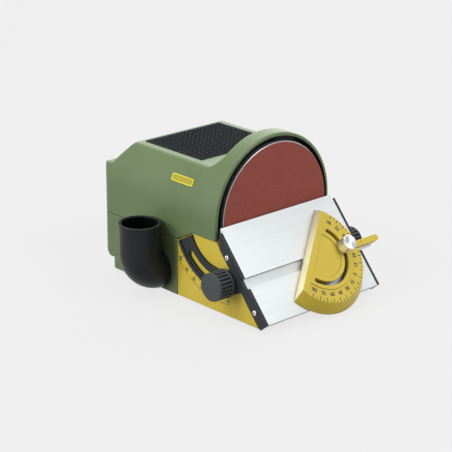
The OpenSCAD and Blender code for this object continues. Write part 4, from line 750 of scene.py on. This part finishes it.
# A superellipse outline is carried inwards through rings of given size and height, then laid on the shell.
def makePlate(p):
    n = p["count"]
    a = np.linspace(0, 2 * np.pi, n, endpoint=False)
    c, s = np.cos(a), np.sin(a)
    r = (np.abs(c) ** p["power"] + np.abs(s) ** p["power"]) ** (-1 / p["power"])
    u0, v0 = r * c, r * s
    inset = np.array([0.0, 0.0, 0.12, 0.35, p["rim"], p["rim"] + 0.2, 2.0, 3.2])
    field = 1 - p["field"] / p["rise"]
    lift = np.array([-0.6, 0.7, 0.94, 1.0, 1.0, field, field, field]) * p["rise"]
    u = u0[None] * (p["halfY"] - inset)[:, None]
    v = v0[None] * (p["halfZ"] - inset)[:, None]
    turn = plateTurn + v / sander["shellR"]
    rad = sander["shellR"] + lift[:, None]
    ring = np.stack([-rad * np.cos(turn), p["y"] - u, sander["spindleZ"] + rad * np.sin(turn)], -1)
    m = len(inset)
    i = (np.arange(m - 1) * n)[:, None]
    j = np.arange(n)[None]
    k = (j + 1) % n
    walls = np.stack([i + j, i + k, i + n + k, i + n + j], -1).reshape(-1, 4)
    middle = ring[-1].mean(0)
    under = ring[0].mean(0)
    verts = np.concatenate([ring.reshape(-1, 3), middle[None], under[None]])
    jj, kk = np.arange(n), (np.arange(n) + 1) % n
    cap = np.stack([(m - 1) * n + jj, (m - 1) * n + kk, np.full(n, m * n)], -1)
    floor = np.stack([kk, jj, np.full(n, m * n + 1)], -1)
    putPiece("blank_plate", verts, [*walls, *cap, *floor], finish["plate"], "base")


makePlate(plate)

# Marks on the switch and round the speed dial
controls = {"x": 70.0, "switchY": 76.0, "dialY": 108.0, "z": 32.0, "ink": 0.04, "dialR": 13.6, "size": 3.4,
            "tip": 7.0, "hollowX": 34.2, "hollowR": 30.4, "inset": 2.5, "markAt": 5.2, "markSize": 4.2,
            "dialFrom": 225, "dialTo": -45, "numbers": 6, "ticks": 11, "numberOff": 1.8, "tickOff": 1.4,
            "tickLong": 0.6, "tickHalf": 0.15}


# Numbers stand round the dial at even angles, on the flat right flank; right is +Y and up is +Z there.
def makeDialMarks(p):
    out, right, up = np.array([1.0, 0, 0]), np.array([0, 1.0, 0]), np.array([0, 0, 1.0])
    mid = np.array([p["x"] + p["ink"] * 0.5, p["dialY"], p["z"]])
    parts = []
    for i, a in enumerate(np.linspace(p["dialFrom"], p["dialTo"], p["numbers"])):
        d = math.cos(math.radians(a)) * right + math.sin(math.radians(a)) * up
        spot = mid + d * (p["dialR"] + p["numberOff"])
        parts.append(setWord(str(i + 1), p["size"], p["ink"], spot, right, up, out))
    a = np.radians(np.linspace(p["dialFrom"], p["dialTo"], p["ticks"]))
    d = np.cos(a)[:, None] * right + np.sin(a)[:, None] * up
    off = np.broadcast_to(out * p["ink"], d.shape)
    spot = mid + d * (p["dialR"] - p["tickOff"])
    parts.append(boxField(spot, d * p["tickLong"], np.cross(out, d) * p["tickHalf"], off))
    verts, faces = joinParts(parts)
    putPiece("dial_marks", verts, faces, finish["white"], "base")


# Stroke and ring on the rocker: a mark lies on the rocker's hollow face, whose axis turns with the rocker's tip.
def makeRockerMarks(p):
    t = math.radians(p["tip"])
    turn = np.array([[math.cos(t), -math.sin(t), 0], [math.sin(t), math.cos(t), 0], [0, 0, 1.0]])
    mid = np.array([p["x"] - p["inset"], p["switchY"], p["z"]])
    parts = []
    for word, v in (("I", p["markAt"]), ("O", -p["markAt"])):
        u = p["hollowX"] - math.sqrt(p["hollowR"] ** 2 - v * v)
        out = turn @ np.array([p["hollowX"] - u, -v, 0.0]) / p["hollowR"]
        up = np.array([0.0, 0.0, 1.0])
        spot = mid + turn @ np.array([u, v, 0.0]) + out * p["ink"] * 0.5
        parts.append(setWord(word, p["markSize"], p["ink"], spot, np.cross(up, out), up, out))
    verts, faces = joinParts(parts)
    putPiece("rocker_marks", verts, faces, finish["white"], "rocker")


makeDialMarks(controls)
makeRockerMarks(controls)
print("plate and control marks made")
